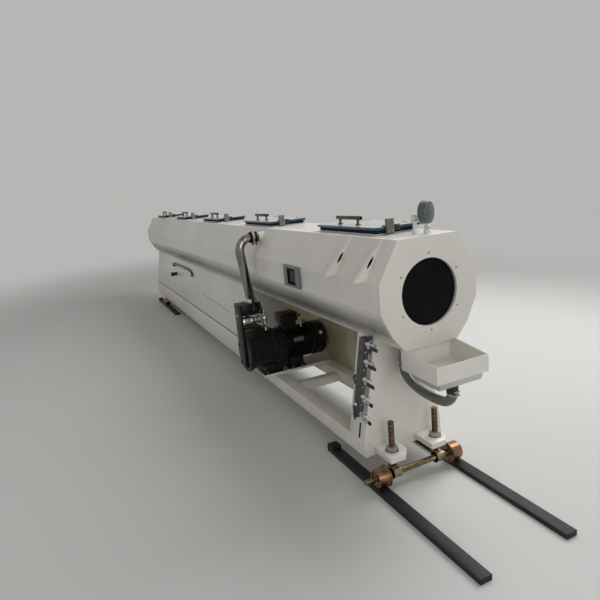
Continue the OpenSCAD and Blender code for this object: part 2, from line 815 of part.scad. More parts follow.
// Manifold bar beside the near pedestal, with its valves
bar_past_valve = 18;
bar_above = 12;
manifold_lo = bottom_z - valve_drop - 4 * valve_pitch - bar_past_valve;
manifold_hi = bottom_z + bar_above;
manifold_x = -pedestal_x;
tilt = atan2(frame_half - bottom_half, bottom_z - beam_top);
function manifold_y(z) = -taper(z) - (manifold_gap + manifold_w / 2);
module manifold_bar() {
    color("dimgray") placed() {
        along_x(manifold_x - manifold_d, manifold_x)
            polygon([[manifold_y(manifold_lo) - manifold_w / 2, manifold_lo],
                [manifold_y(manifold_lo) + manifold_w / 2, manifold_lo],
                [manifold_y(manifold_hi) + manifold_w / 2, manifold_hi],
                [manifold_y(manifold_hi) - manifold_w / 2, manifold_hi]]);
        for (z = [manifold_lo + 60, manifold_hi - 90])
            along_x(manifold_x - manifold_d + 6, manifold_x - 10)
                polygon([[-taper(z), z], [-taper(z + 30), z + 30],
                    [manifold_y(z + 30) + manifold_w / 2, z + 30],
                    [manifold_y(z) + manifold_w / 2, z]]);
    }
}
body_l = 72;
body_r = 14;
stem_x = manifold_x + 56;
lever_gap = 5.5;
stem_r = 4;
function valve_at(i) = bottom_z - valve_drop - (i - 1) * valve_pitch;
module valve_bodies() {
    color("silver") placed()
        for (i = [1:5]) {
            z = valve_at(i);
            y = manifold_y(z);
            rod_x(manifold_x, manifold_x + body_l, y, z, body_r);
            rod_y(y - body_r - lever_gap - lever_t, y, stem_x, z, stem_r);
        }
}
module valve_lever(i) {
    z = valve_at(i);
    y = manifold_y(z) - body_r - lever_gap;
    color(i < 4 ? "midnightblue" : "silver") placed()
        difference() {
            union() {
                rod_y(y - lever_t, y, stem_x, z, lever_w / 2);
                box([stem_x, y - lever_t, z - lever_w / 2], [stem_x + lever_l, y, z + lever_w / 2]);
            }
            rod_y(y - lever_t - 1, y + 1, stem_x, z, stem_r + pin_clear);
        }
}

tank_top_plate();
tank_left_wall();
tank_right_wall();
tank_bottom_pan();
near_end_plate();
far_end_plate();
seal_sheets();
lifting_gussets();
hatch_collars();
hatch_gaskets();
window_frame();
window_glass();
pressure_gauge();
relief_valve();
drip_tray();
tray_hopper();
tank_drain();
drain_hose();
near_pedestal();
far_pedestal();
frame_beams();
cross_bars();
water_box_sides();
water_box_ends();
water_box_floor();
box_outlet();
bay_panel();
foot_plates();
jack_screws();
axle_bearings();
near_wheelset();
far_wheelset();
floor_rails();
rail_stops();
pump_base();
pump_motor();
terminal_box();
pump_head();
pump_fittings();
suction_pipe();
manifold_bar();
valve_bodies();
lid(1);  // lid_1
lid(2);  // lid_2
lid(3);  // lid_3
lid(4);  // lid_4
lid(5);  // lid_5
valve_lever(1);  // valve_lever_1
valve_lever(2);  // valve_lever_2
valve_lever(3);  // valve_lever_3
valve_lever(4);  // valve_lever_4
valve_lever(5);  // valve_lever_5
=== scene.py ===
import math

import bmesh
import bpy
from mathutils import Matrix, Vector


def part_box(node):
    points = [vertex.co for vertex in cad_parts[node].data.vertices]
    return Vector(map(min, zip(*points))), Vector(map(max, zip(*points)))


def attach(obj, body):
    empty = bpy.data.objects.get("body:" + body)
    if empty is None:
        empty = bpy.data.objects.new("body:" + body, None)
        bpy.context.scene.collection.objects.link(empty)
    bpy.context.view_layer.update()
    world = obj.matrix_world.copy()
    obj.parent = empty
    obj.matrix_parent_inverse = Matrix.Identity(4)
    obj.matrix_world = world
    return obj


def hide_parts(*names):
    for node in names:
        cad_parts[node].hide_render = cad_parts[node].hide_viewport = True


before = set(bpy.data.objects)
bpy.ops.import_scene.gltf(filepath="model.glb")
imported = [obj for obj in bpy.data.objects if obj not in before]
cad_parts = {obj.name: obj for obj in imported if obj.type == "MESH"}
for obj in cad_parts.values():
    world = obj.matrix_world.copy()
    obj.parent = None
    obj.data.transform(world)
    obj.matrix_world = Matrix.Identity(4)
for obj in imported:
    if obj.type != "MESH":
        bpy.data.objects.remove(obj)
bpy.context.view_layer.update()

# Pieces are worked out in millimetres, and their meshes are made in metres
MM = 0.001
UP = Vector((0, 0, 1))
ALONG = Vector((1, 0, 0))
ACROSS = Vector((0, 1, 0))
ORIGIN = Vector((0, 0, 0))


def span(node):
    """The low and high corners of a CAD node, in millimetres."""
    low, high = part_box(node)
    return low / MM, high / MM


PLATE_LOW, PLATE_HIGH = span("near_end_plate")
NEAR_X = PLATE_HIGH.x
MID_Y = (PLATE_LOW.y + PLATE_HIGH.y) / 2
TANK_TOP = PLATE_HIGH.z
TANK_FOOT = PLATE_LOW.z
LINE_Z = 1000


def at(x, y, z):
    """A point given from the near end plate, the tank's centre line and the floor."""
    return Vector((NEAR_X + x, MID_Y + y, z))


def foot_of(node):
    """The middle of a CAD node's underside, and the node's height."""
    low, high = span(node)
    return Vector(((low.x + high.x) / 2, (low.y + high.y) / 2, low.z)), high.z - low.z


def circle_of(centre, axis, arm, count, first=0):
    """Points round an axis: an arm turned by equal steps from a first angle in degrees."""
    turns = [math.radians(first + 360 * k / count) for k in range(count)]
    return [centre + Matrix.Rotation(turn, 3, axis) @ arm for turn in turns]


# Camera at the photograph's place
def make_camera():
    data = bpy.data.cameras.new("photo_camera")
    data.sensor_width = 36
    data.lens = 30.553
    data.clip_start = 0.05
    data.clip_end = 60
    camera = bpy.data.objects.new("photo_camera", data)
    camera.location = at(1791.3, -1448.4, 1516.4) * MM
    camera.rotation_euler = [math.radians(turn) for turn in (77.36, 5.27, 64.59)]
    bpy.context.scene.collection.objects.link(camera)
    bpy.context.scene.camera = camera


make_camera()


# Shader maths
class Wire:
    """One output socket of a material, with arithmetic that adds Math nodes."""

    def __init__(self, finish, socket):
        self.finish = finish
        self.socket = socket

    def math(self, operation, *operands):
        return self.finish.node("ShaderNodeMath", {"operation": operation}, dict(enumerate(operands)))

    def __add__(self, other):
        return self.math("ADD", self, other)

    def __radd__(self, other):
        return self.math("ADD", other, self)

    def __sub__(self, other):
        return self.math("SUBTRACT", self, other)

    def __rsub__(self, other):
        return self.math("SUBTRACT", other, self)

    def __mul__(self, other):
        return self.math("MULTIPLY", self, other)

    def __rmul__(self, other):
        return self.math("MULTIPLY", other, self)

    def __truediv__(self, other):
        return self.math("DIVIDE", self, other)

    def __rtruediv__(self, other):
        return self.math("DIVIDE", other, self)

    def waves(self):
        return self.math("SINE", self)

    def size(self):
        return self.math("ABSOLUTE", self)

    def ease(self, low, high):
        """0 below low, 1 above high, and smooth between."""
        sockets = {"Value": self, "From Min": low, "From Max": high}
        return self.finish.node("ShaderNodeMapRange", {"interpolation_type": "SMOOTHSTEP"}, sockets)


class Finish:
    """A procedural material: a Principled shader and the nodes that vary it over Object coordinates."""

    def __init__(self, name, metallic=0.0, coat=0.0, transmission=0.0, ior=1.5, specular=0.5):
        self.material = bpy.data.materials.new(name)
        self.material.use_nodes = True
        self.tree = self.material.node_tree
        self.shader = self.tree.nodes["Principled BSDF"]
        fixed = {"Metallic": metallic, "Coat Weight": coat, "Transmission Weight": transmission,
                 "IOR": ior, "Specular IOR Level": specular, "Coat Roughness": 0.12}
        for socket, value in fixed.items():
            self.shader.inputs[socket].default_value = value
        self.place = self.node("ShaderNodeTexCoord", {}, {}, "Object")

    def node(self, kind, settings, inputs, output=0):
        """Adds a node: its settings first, then its sockets' values or links."""
        node = self.tree.nodes.new(kind)
        for name, value in settings.items():
            setattr(node, name, value)
        for key, value in inputs.items():
            if isinstance(value, Wire):
                self.tree.links.new(value.socket, node.inputs[key])
            elif isinstance(value, tuple) and node.inputs[key].type == "RGBA":
                node.inputs[key].default_value = (*value, 1)
            else:
                node.inputs[key].default_value = value
        return Wire(self, node.outputs[output])

    def noise(self, scale, detail=2.0, rough=0.5, place=None):
        sockets = {"Vector": place or self.place, "Scale": scale, "Detail": detail, "Roughness": rough}
        return self.node("ShaderNodeTexNoise", {}, sockets, "Fac")

    def cells(self, scale):
        return self.node("ShaderNodeTexVoronoi", {}, {"Vector": self.place, "Scale": scale}, "Distance")

    def stretched(self, x, y, z):
        return self.node("ShaderNodeMapping", {}, {"Vector": self.place, "Scale": (x, y, z)})

    def axis(self, letter, place=None):
        return self.node("ShaderNodeSeparateXYZ", {}, {"Vector": place or self.place}, letter)

    def facing(self, letter):
        """How far the surface points along one axis of its own piece, however the piece is turned."""
        return self.axis(letter, self.node("ShaderNodeTexCoord", {}, {}, "Normal"))

    def mix(self, share, first, second):
        return self.node("ShaderNodeMix", {"data_type": "RGBA"}, {0: share, 6: first, 7: second}, 2)

    def set(self, socket, value):
        if isinstance(value, Wire):
            self.tree.links.new(value.socket, self.shader.inputs[socket])
        else:
            self.shader.inputs[socket].default_value = value

    def bump(self, height, strength, distance):
        sockets = {"Height": height, "Strength": strength, "Distance": distance}
        self.set("Normal", self.node("ShaderNodeBump", {}, sockets, "Normal"))


def enamel(name, colour, dusty, dust_colour, gloss=0.34, peel=0.12, coat=0.25, specular=0.5):
    """Sprayed machine enamel: uneven tint, dust low down and in scuffed spots, orange peel."""
    paint = Finish(name, coat=coat, specular=specular)
    drift = paint.noise(1.7, 3.0)
    scuff = paint.noise(9.0, 6.0, 0.62, paint.stretched(1.0, 1.6, 2.4)).ease(0.56, 0.74)
    low = 1.0 - paint.axis("Z").ease(0.05, 0.75)
    grime = (low * 0.5 + scuff * 0.5) * paint.noise(4.2, 5.0, 0.6).ease(0.38, 0.72) * dusty
    darker = tuple(0.90 * part for part in colour)
    tint = paint.mix(drift.ease(0.35, 0.7), colour, darker)
    paint.set("Base Color", paint.mix(grime, tint, dust_colour))
    paint.set("Roughness", gloss + grime * 0.3 + paint.noise(30.0, 3.0) * 0.08)
    paint.bump(paint.noise(260.0, 2.0), peel, 0.0004)
    return paint.material


def brushed_sheet():
    """Stainless sheet with fine lines along the machine, smears and heat tint."""
    steel = Finish("stainless_along", metallic=1.0)
    colour = (0.62, 0.62, 0.60)
    lines = steel.noise(1.0, 3.0, 0.6, steel.stretched(2.0, 160.0, 160.0))
    smear = steel.noise(7.0, 4.0).ease(0.42, 0.75)
    warm = tuple(part * tone for part, tone in zip(colour, (0.9, 0.86, 0.78)))
    dull = tuple(0.78 * part for part in colour)
    steel.set("Base Color", steel.mix(lines.ease(0.3, 0.8) * 0.5, steel.mix(smear * 0.6, colour, warm), dull))
    steel.set("Roughness", 0.28 + lines * 0.16 + smear * 0.08)
    steel.bump(lines, 0.12, 0.0003)
    return steel.material


def plated(name, colour, stain, rough=0.16, amount=0.5):
    """Bright plate or passivate with clouded stains and fine pits."""
    metal = Finish(name, metallic=1.0)
    cloud = metal.noise(22.0, 5.0, 0.6)
    film = metal.noise(60.0, 3.0).ease(0.4, 0.7)
    pits = metal.cells(420.0).ease(0.0, 0.3)
    metal.set("Base Color", metal.mix(cloud.ease(0.4, 0.72) * amount, colour, stain))
    metal.set("Roughness", rough + film * 0.14 + cloud * 0.08)
    metal.bump(pits, 0.08, 0.0002)
    return metal.material


def polished_tube():
    """Polished tube: dark and bright bands along it are a painted reflection, and handling clouds it with
    smears.
    """
    steel = Finish("pipe_steel", metallic=1.0)
    # Painted reflection: dark and bright bands that run along the tube
    bands = steel.noise(1.0, 2.0, 0.5, steel.stretched(36.0, 36.0, 1.2)).ease(0.40, 0.58)
    smear = steel.noise(14.0, 4.0).ease(0.5, 0.75)
    tint = steel.mix(bands, (0.035, 0.034, 0.030), (0.30, 0.29, 0.265))
    steel.set("Base Color", steel.mix(smear * 0.4, tint, (0.16, 0.15, 0.125)))
    steel.set("Roughness", 0.07 + smear * 0.16)
    steel.bump(smear, 0.05, 0.0003)
    return steel.material


def rubbery(name, colour, bloom, scale=90.0):
    """Rubber or sponge with a grey bloom and a fine cellular skin."""
    skin = Finish(name, specular=0.08)
    cloud = skin.noise(6.0, 4.0).ease(0.45, 0.8)
    skin.set("Base Color", skin.mix(cloud * 0.6, colour, bloom))
    skin.set("Roughness", 0.62 + skin.noise(40.0, 3.0) * 0.15)
    skin.bump(skin.cells(scale * 10) + skin.noise(scale, 3.0), 0.2, 0.0006)
    return skin.material


def moulded(name, colour, wear, rough=0.36):
    """Moulded or dipped plastic with a fine leather grain and rubbed spots."""
    plastic = Finish(name)
    rubbed = plastic.noise(26.0, 4.0).ease(0.52, 0.8)
    plastic.set("Base Color", plastic.mix(rubbed * 0.5, colour, wear))
    plastic.set("Roughness", rough + rubbed * 0.2)
    plastic.bump(plastic.noise(520.0, 2.0), 0.15, 0.0003)
    return plastic.material


def acrylic_lid():
    """Thick acrylic: a pale top with dust and wipe marks, whose paleness is a painted reflection of window
    light, and a deep teal edge.
    """
    pane = Finish("acrylic_lid", coat=0.6)
    upright = 1.0 - pane.facing("Z").size().ease(0.35, 0.8)
    wipes = pane.noise(5.0, 5.0, 0.6, pane.stretched(1.0, 3.2, 1.0))
    dust = pane.noise(70.0, 4.0).ease(0.5, 0.8)
    # Painted reflection: the top faces are pale where window light glances off them; the teal edge is the
    # acrylic's own colour
    top = pane.mix(wipes.ease(0.35, 0.7), (0.62, 0.72, 0.71), (0.74, 0.79, 0.76))
    edge = pane.mix(pane.noise(16.0).ease(0.4, 0.7), (0.006, 0.055, 0.085), (0.015, 0.10, 0.14))
    pane.set("Base Color", pane.mix(upright, pane.mix(dust * 0.3, top, (0.78, 0.77, 0.73)), edge))
    pane.set("Roughness", 0.08 + dust * 0.22 + wipes * 0.06)
    pane.bump(wipes, 0.05, 0.0006)
    return pane.material


def coated_panel():
    """Tan panel: broad vertical streaks of lighter and darker tan, darker patches and a warm, part-metallic
    sheen.
    """
    film = Finish("coated_panel", metallic=0.35, coat=0.3)
    streaks = film.noise(1.0, 4.0, 0.55, film.stretched(7.0, 1.0, 0.9))
    patches = film.noise(2.4, 3.0).ease(0.4, 0.7)
    warm = film.mix(streaks.ease(0.3, 0.7), (0.46, 0.40, 0.26), (0.70, 0.65, 0.50))
    film.set("Base Color", film.mix(patches * 0.5, warm, (0.38, 0.34, 0.22)))
    film.set("Roughness", 0.34 + streaks * 0.2)
    film.bump(film.noise(18.0, 3.0), 0.1, 0.001)
    return film.material


def clear_hose():
    """Clear hose gone grey-olive: a faint spiral of thread under a smooth glossy skin."""
    skin = Finish("clear_hose", coat=0.5, transmission=0.2, ior=1.4)
    thread_pitch = 0.006
    along = skin.node("ShaderNodeUVMap", {}, {}, "UV")
    turn = skin.axis("X", along) * 2 * math.pi
    run = skin.axis("Y", along) * 2 * math.pi / thread_pitch
    thread = (turn + run).waves().ease(0.2, 1.0)
    cloud = skin.noise(11.0, 3.0)
    clear = skin.mix(cloud.ease(0.35, 0.7), (0.17, 0.17, 0.145), (0.11, 0.11, 0.094))
    skin.set("Base Color", skin.mix(thread * 0.25, clear, (0.40, 0.40, 0.36)))
    skin.set("Roughness", 0.2 + thread * 0.06)
    skin.bump(thread, 0.12, 0.0004)
    return skin.material


def sight_glass():
    """Toughened glass, near black as painted shade of the tank's unlit inside, with drips on its face."""
    glass = Finish("sight_glass", coat=0.06, specular=0.15)
    drips = glass.noise(1.0, 4.0, 0.6, glass.stretched(60.0, 60.0, 7.0)).ease(0.5, 0.75)
    # Painted shade: the near-black colour stands for the dark inside of the tank behind the glass
    deep = glass.mix(glass.noise(9.0).ease(0.4, 0.7), (0.008, 0.009, 0.010), (0.035, 0.034, 0.030))
    glass.set("Base Color", glass.mix(drips * 0.5, deep, (0.12, 0.125, 0.12)))
    glass.set("Roughness", 0.06 + drips * 0.2)
    glass.bump(drips, 0.1, 0.0006)
    return glass.material


def floor_finish():
    """Pale studio floor that fades into the backdrop far from the machine."""
    floor = Finish("studio_floor")
    spread = floor.stretched(0.72, 1.25, 1.0)
    distance = floor.node("ShaderNodeVectorMath", {"operation": "LENGTH"}, {0: spread}, 1)
    floor.set("Base Color", floor.mix(floor.noise(0.7, 3.0), (0.62, 0.62, 0.61), (0.66, 0.66, 0.65)))
    floor.set("Roughness", 0.8)
    floor.set("Alpha", 1.0 - distance.ease(3.1, 7.6))
    return floor.material


white_enamel = enamel("white_enamel", (0.805, 0.785, 0.722), 0.55, (0.52, 0.49, 0.44))
# A darker copy of the white enamel for the water box's ends and floor: its lower tone is painted shade
shade_darkened_white = enamel("shade_darkened_white", (0.66, 0.65, 0.62), 0.4, (0.45, 0.44, 0.40))
black_enamel = enamel("black_enamel", (0.0075, 0.008, 0.008), 0.3, (0.035, 0.034, 0.031),
                      gloss=0.3, peel=0.2, coat=0.06, specular=0.22)
frame_grey = enamel("frame_grey", (0.17, 0.18, 0.18), 0.5, (0.30, 0.29, 0.27), gloss=0.4)
bar_grey = enamel("bar_grey", (0.050, 0.053, 0.054), 0.6, (0.15, 0.145, 0.135), gloss=0.4)
rail_black = enamel("rail_black", (0.012, 0.012, 0.012), 0.5, (0.08, 0.076, 0.07),
                    gloss=0.5, peel=0.3, coat=0.05, specular=0.3)
gauge_green = enamel("gauge_green", (0.085, 0.105, 0.095), 0.3, (0.2, 0.21, 0.2), gloss=0.3)
clamp_grey = enamel("clamp_grey", (0.155, 0.150, 0.135), 0.5, (0.30, 0.29, 0.26), gloss=0.42)
brushed_steel = brushed_sheet()
pipe_steel = polished_tube()
nickel_plate = plated("nickel_plate", (0.72, 0.71, 0.68), (0.40, 0.38, 0.34))
pale_passivate = plated("pale_passivate", (0.40, 0.35, 0.20), (0.20, 0.15, 0.08), 0.26, 0.7)
copper_passivate = plated("copper_passivate", (0.34, 0.185, 0.105), (0.14, 0.085, 0.05), 0.24, 0.8)
olive_steel = plated("olive_steel", (0.25, 0.21, 0.105), (0.10, 0.08, 0.045), 0.2, 0.7)
zinc_plate = plated("zinc_plate", (0.42, 0.43, 0.42), (0.24, 0.23, 0.20), 0.34, 0.8)
oiled_thread = plated("oiled_thread", (0.20, 0.145, 0.085), (0.09, 0.06, 0.035), 0.32, 0.9)
handle_bronze = plated("handle_bronze", (0.105, 0.085, 0.060), (0.05, 0.04, 0.03), 0.3, 0.8)
worn_steel = plated("worn_steel", (0.30, 0.27, 0.23), (0.16, 0.13, 0.10), 0.3, 0.7)
seal_rubber = rubbery("seal_rubber", (0.004, 0.004, 0.005), (0.010, 0.010, 0.012))
gasket_sponge = rubbery("gasket_sponge", (0.012, 0.022, 0.052), (0.03, 0.045, 0.08), 60.0)
white_plastic = moulded("white_plastic", (0.78, 0.78, 0.75), (0.62, 0.60, 0.55))
blue_grip = moulded("blue_grip", (0.010, 0.013, 0.075), (0.035, 0.04, 0.13))
black_plastic = moulded("black_plastic", (0.008, 0.008, 0.009), (0.04, 0.04, 0.04))
grey_plastic = moulded("grey_plastic", (0.25, 0.27, 0.245), (0.36, 0.36, 0.33))
dial_white = moulded("dial_white", (0.80, 0.80, 0.77), (0.72, 0.71, 0.66), 0.5)
lid_acrylic = acrylic_lid()
panel_tan = coated_panel()
hose_skin = clear_hose()
dark_glass = sight_glass()


# Meshes
class Piece:
    """A mesh filled shape by shape, with a main finish and others where a shape names one."""

    def __init__(self, name, main):
        self.name = name
        self.main = main
        self.bm = bmesh.new()
        self.finishes = []

    def vert(self, point):
        return self.bm.verts.new(point * MM)

    def paint(self, faces, finish):
        finish = finish or self.main
        if finish not in self.finishes:
            self.finishes.append(finish)
        for face in faces:
            face.material_index = self.finishes.index(finish)
            face.smooth = True

    def soften(self, faces, width):
        """Rounds the edges between these faces that turn by more than 25 degrees."""
        edges = {edge for face in faces for edge in face.edges
                 if len(edge.link_faces) == 2 and edge.calc_face_angle(0) > math.radians(25)}
        before = set(self.bm.faces)
        bmesh.ops.bevel(self.bm, geom=list(edges), offset=width * MM, segments=2, profile=0.5,
                        affect="EDGES", clamp_overlap=True)
        kept = [face for face in faces if face.is_valid]
        return kept + [face for face in self.bm.faces if face not in before and face not in kept]

    def box(self, low, high, soft=1.5, finish=None):
        """A block between two corners, with rounded edges."""
        low, high = Vector(low) * MM, Vector(high) * MM
        size = high - low
        place = Matrix.Translation((low + high) / 2) @ Matrix.Diagonal((*size, 1))
        made = bmesh.ops.create_cube(self.bm, size=1, matrix=place)
        faces = list({face for vert in made["verts"] for face in vert.link_faces})
        self.paint(self.soften(faces, min(soft, 0.3 * min(size) / MM)), finish)
        return self

    def block(self, base, low, high, soft=1.5, finish=None):
        """A block whose two corners are given from a base point."""
        return self.box(base + Vector(low), base + Vector(high), soft, finish)

    def turned(self, start, axis, profile, sides=40, finish=None):
        """A turned shape: profile is (radius, distance along the axis), closed at its ends."""
        axis = axis.normalized()
        side = axis.orthogonal().normalized()
        rings = []
        for radius, along in profile:
            centre = start + axis * along
            arms = circle_of(ORIGIN, axis, side, sides) if radius else [side]
            rings.append([self.vert(centre + radius * arm) for arm in arms])
        faces = []
        for low, high in zip(rings, rings[1:]):
            for k in range(sides):
                after = (k + 1) % sides
                turns = ((low, k), (low, after), (high, after), (high, k))
                corners = list(dict.fromkeys(ring[j % len(ring)] for ring, j in turns))
                if len(corners) > 2:
                    faces.append(self.bm.faces.new(corners))
        for ring in (rings[0][::-1], rings[-1]):
            if len(ring) > 1:
                faces.append(self.bm.faces.new(ring))
        self.paint(faces, finish)
        return self

    def rod(self, start, end, radius, sides=32, finish=None, soft=0.8):
        """A round bar with softened ends."""
        length = (end - start).length
        soft = min(soft, 0.3 * radius, 0.3 * length)
        profile = [(radius - soft, 0), (radius, soft), (radius, length - soft), (radius - soft, length)]
        return self.turned(start, end - start, profile, sides, finish)

    def ring(self, centre, axis, radius, thick, sides=48, around=10, finish=None):
        """A round wire bent to a ring."""
        spots = [2 * math.pi * j / around for j in range(around)]
        loops = []
        for out in circle_of(ORIGIN, axis, axis.orthogonal().normalized(), sides):
            loops.append([self.vert(centre + out * (radius + thick * math.cos(spot))
                                    + axis * thick * math.sin(spot)) for spot in spots])
        self.paint(self.skin(loops, True), finish)
        return self

    def skin(self, loops, closed):
        """Faces between loops of equal length, joined end to start where closed."""
        faces = []
        for low, high in zip(loops, loops[1:] + (loops[:1] if closed else [])):
            count = len(low)
            for k in range(count):
                after = (k + 1) % count
                faces.append(self.bm.faces.new([low[k], low[after], high[after], high[k]]))
        if not closed:
            faces.append(self.bm.faces.new(loops[0][::-1]))
            faces.append(self.bm.faces.new(loops[-1]))
        return faces

    def tube(self, points, radius, sides, uv=False, finish=None):
        """A round tube along points, with even UV lengths in metres where uv is set."""
        spots = [2 * math.pi * j / sides for j in range(sides)]
        loops = []
        side = None
        for k, point in enumerate(points):
            ahead = (points[min(k + 1, len(points) - 1)] - points[max(k - 1, 0)]).normalized()
            side = ahead.orthogonal() if side is None else side - ahead * side.dot(ahead)
            side.normalize()
            over = ahead.cross(side)
            loops.append([self.vert(point + radius * (side * math.cos(spot) + over * math.sin(spot)))
                          for spot in spots])
        faces = self.skin(loops, False)
        self.paint(faces, finish)
        if uv:
            layer = self.bm.loops.layers.uv.verify()
            runs = [0.0]
            for first, second in zip(points, points[1:]):
                runs.append(runs[-1] + (second - first).length * MM)
            for number, face in enumerate(faces[:-2]):
                row, column = divmod(number, sides)
                for corner, (over, along) in zip(face.loops, ((0, 0), (1, 0), (1, 1), (0, 1))):
                    corner[layer].uv = ((column + over) / sides, runs[row + along])
        return self

    def prism(self, outline, depth, soft=0.0, finish=None):
        """A flat outline of points pushed through a depth vector."""
        low = [self.vert(point) for point in outline]
        high = [self.vert(point + depth) for point in outline]
        faces = self.skin([low, high], False)
        self.paint(self.soften(faces, soft) if soft else faces, finish)
        return self

    def take(self, mesh, finish=None):
        """Adds a grown mesh."""
        before = set(self.bm.faces)
        self.bm.from_mesh(mesh)
        bpy.data.meshes.remove(mesh)
        self.paint([face for face in self.bm.faces if face not in before], finish)

    def done(self, body, slot, *replaced):
        """Makes the object, sets its edges, and ties it to its body and nodes; its slot is not used."""
        bmesh.ops.recalc_face_normals(self.bm, faces=self.bm.faces[:])
        return settle(self.bm, self.name, self.finishes, body, replaced, 35)


def settle(bm, name, finishes, body, replaced, sharp):
    """Puts a finished mesh in the scene and ties it to the frame."""
    mesh = bpy.data.meshes.new(name)
    bm.to_mesh(mesh)
    bm.free()
    for finish in finishes:
        mesh.materials.append(finish)
    mesh.set_sharp_from_angle(angle=math.radians(sharp))
    piece = bpy.data.objects.new(name, mesh)
    bpy.context.scene.collection.objects.link(piece)
    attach(piece, body)
    if replaced:
        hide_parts(*replaced)
    return piece


def pressed(name, nodes, finish, fold, body="carriage", steps=3):
    """CAD nodes joined into one sheet-metal piece with rounded folds and edges."""
    touching = 0.02 * MM
    sliver = 20 * MM ** 2
    bm = bmesh.new()
    for node in nodes:
        part = bmesh.new()
        part.from_mesh(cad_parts[node].data)
        bmesh.ops.remove_doubles(part, verts=part.verts[:], dist=touching)
        bmesh.ops.dissolve_limit(part, angle_limit=math.radians(1), verts=part.verts[:], edges=part.edges[:])
        copy = bpy.data.meshes.new(node + "_copy")
        part.to_mesh(copy)
        part.free()
        bm.from_mesh(copy)
        bpy.data.meshes.remove(copy)
    bmesh.ops.remove_doubles(bm, verts=bm.verts[:], dist=touching)
    seen = {}
    for face in bm.faces:
        seen.setdefault(frozenset(face.verts), []).append(face)
    twins = [face for faces in seen.values() if len(faces) > 1 for face in faces]
    bmesh.ops.delete(bm, geom=twins, context="FACES")
    edges = [edge for edge in bm.edges
             if len(edge.link_faces) == 2 and edge.calc_face_angle(0) > math.radians(20)
             and not all(len(face.verts) == 4 and face.calc_area() < sliver for face in edge.link_faces)]
    bmesh.ops.bevel(bm, geom=edges, offset=fold * MM, segments=steps, profile=0.5, affect="EDGES",
                    clamp_overlap=True)
    for face in bm.faces:
        face.smooth = True
        face.material_index = 0
    settle(bm, name, [finish], body, nodes, 30)


# Geometry node trees for what repeats or follows a line
class Tree:
    """A geometry node tree with named inputs, which ends in Realize Instances and Set Material."""

    def __init__(self, name, inputs):
        self.group = bpy.data.node_groups.new(name, "GeometryNodeTree")
        self.group.interface.new_socket("Geometry", in_out="INPUT", socket_type="NodeSocketGeometry")
        for label, kind in {**inputs, "Material": "Material"}.items():
            self.group.interface.new_socket(label, in_out="INPUT", socket_type="NodeSocket" + kind)
        self.group.interface.new_socket("Geometry", in_out="OUTPUT", socket_type="NodeSocketGeometry")
        self.given = self.group.nodes.new("NodeGroupInput").outputs

    def node(self, kind, inputs, **settings):
        node = self.group.nodes.new(kind)
        for name, value in settings.items():
            setattr(node, name, value)
        for key, value in inputs.items():
            for source in value if isinstance(value, list) else [value]:
                if isinstance(source, bpy.types.NodeSocket):
                    self.group.links.new(source, node.inputs[key])
                else:
                    node.inputs[key].default_value = source
        return node.outputs[0]

    def times(self, first, second):
        return self.node("ShaderNodeMath", {0: first, 1: second}, operation="MULTIPLY")

    def lifted(self, geometry, height):
        up = self.node("ShaderNodeCombineXYZ", {"Z": height})
        return self.node("GeometryNodeTransform", {"Geometry": geometry, "Translation": up})

    def set_out(self, points, instance, letter, way):
        """An instance at each point, with one of its axes turned along a vector."""
        turn = self.node("FunctionNodeAlignRotationToVector", {"Vector": way}, axis=letter)
        return self.end(self.node("GeometryNodeInstanceOnPoints", {
            "Points": points, "Instance": instance, "Rotation": turn}))

    def swept(self, curve, section):
        """A section carried along a curve, with closed ends."""
        return self.end(self.node("GeometryNodeCurveToMesh", {
            "Curve": curve, "Profile Curve": section, "Fill Caps": True}))

    def end(self, geometry):
        solid = self.node("GeometryNodeRealizeInstances", {"Geometry": geometry})
        painted = self.node("GeometryNodeSetMaterial", {
            "Geometry": solid, "Material": self.given["Material"]})
        self.group.links.new(painted, self.group.nodes.new("NodeGroupOutput").inputs[0])
        return self

    def grown(self, points=(ORIGIN,), lines=(), place=Matrix(), **values):
        """Runs the tree on points and lines, and gives the result as a plain mesh in metres."""
        seed = bpy.data.meshes.new(self.group.name + "_seed")
        seed.from_pydata([tuple(point) for point in points], list(lines), [])
        holder = bpy.data.objects.new(self.group.name + "_seed", seed)
        bpy.context.scene.collection.objects.link(holder)
        modifier = holder.modifiers.new("tree", "NODES")
        modifier.node_group = self.group
        for item in self.group.interface.items_tree:
            if item.in_out == "INPUT" and item.name in values:
                modifier[item.identifier] = values[item.name]
        graph = bpy.context.evaluated_depsgraph_get()
        mesh = bpy.data.meshes.new_from_object(holder.evaluated_get(graph))
        bpy.data.objects.remove(holder)
        mesh.transform(Matrix.Scale(MM, 4) @ place)
        return mesh


def head_tree():
    """Bolt or screw heads on washers, one at each point, all facing one way."""
    tree = Tree("fastener_heads", {"Radius": "Float", "Height": "Float", "Washer": "Float",
                                   "Sides": "Int", "Axis": "Vector"})
    radius, height, sides = (tree.given[label] for label in ("Radius", "Height", "Sides"))
    base = tree.times(height, 0.22)
    washer = tree.node("GeometryNodeMeshCylinder", {
        "Vertices": 20, "Radius": tree.given["Washer"], "Depth": base})
    head = tree.node("GeometryNodeMeshCylinder", {"Vertices": sides, "Radius": radius, "Depth": height})
    crown = tree.node("GeometryNodeMeshCone", {
        "Vertices": sides, "Radius Top": tree.times(radius, 0.72), "Radius Bottom": radius, "Depth": base})
    parts = [tree.lifted(washer, tree.times(base, 0.5)), tree.lifted(head, tree.times(height, 0.5)),
             tree.lifted(crown, height)]
    joined = tree.node("GeometryNodeJoinGeometry", {"Geometry": parts})
    return tree.set_out(tree.given["Geometry"], joined, "Z", tree.given["Axis"])


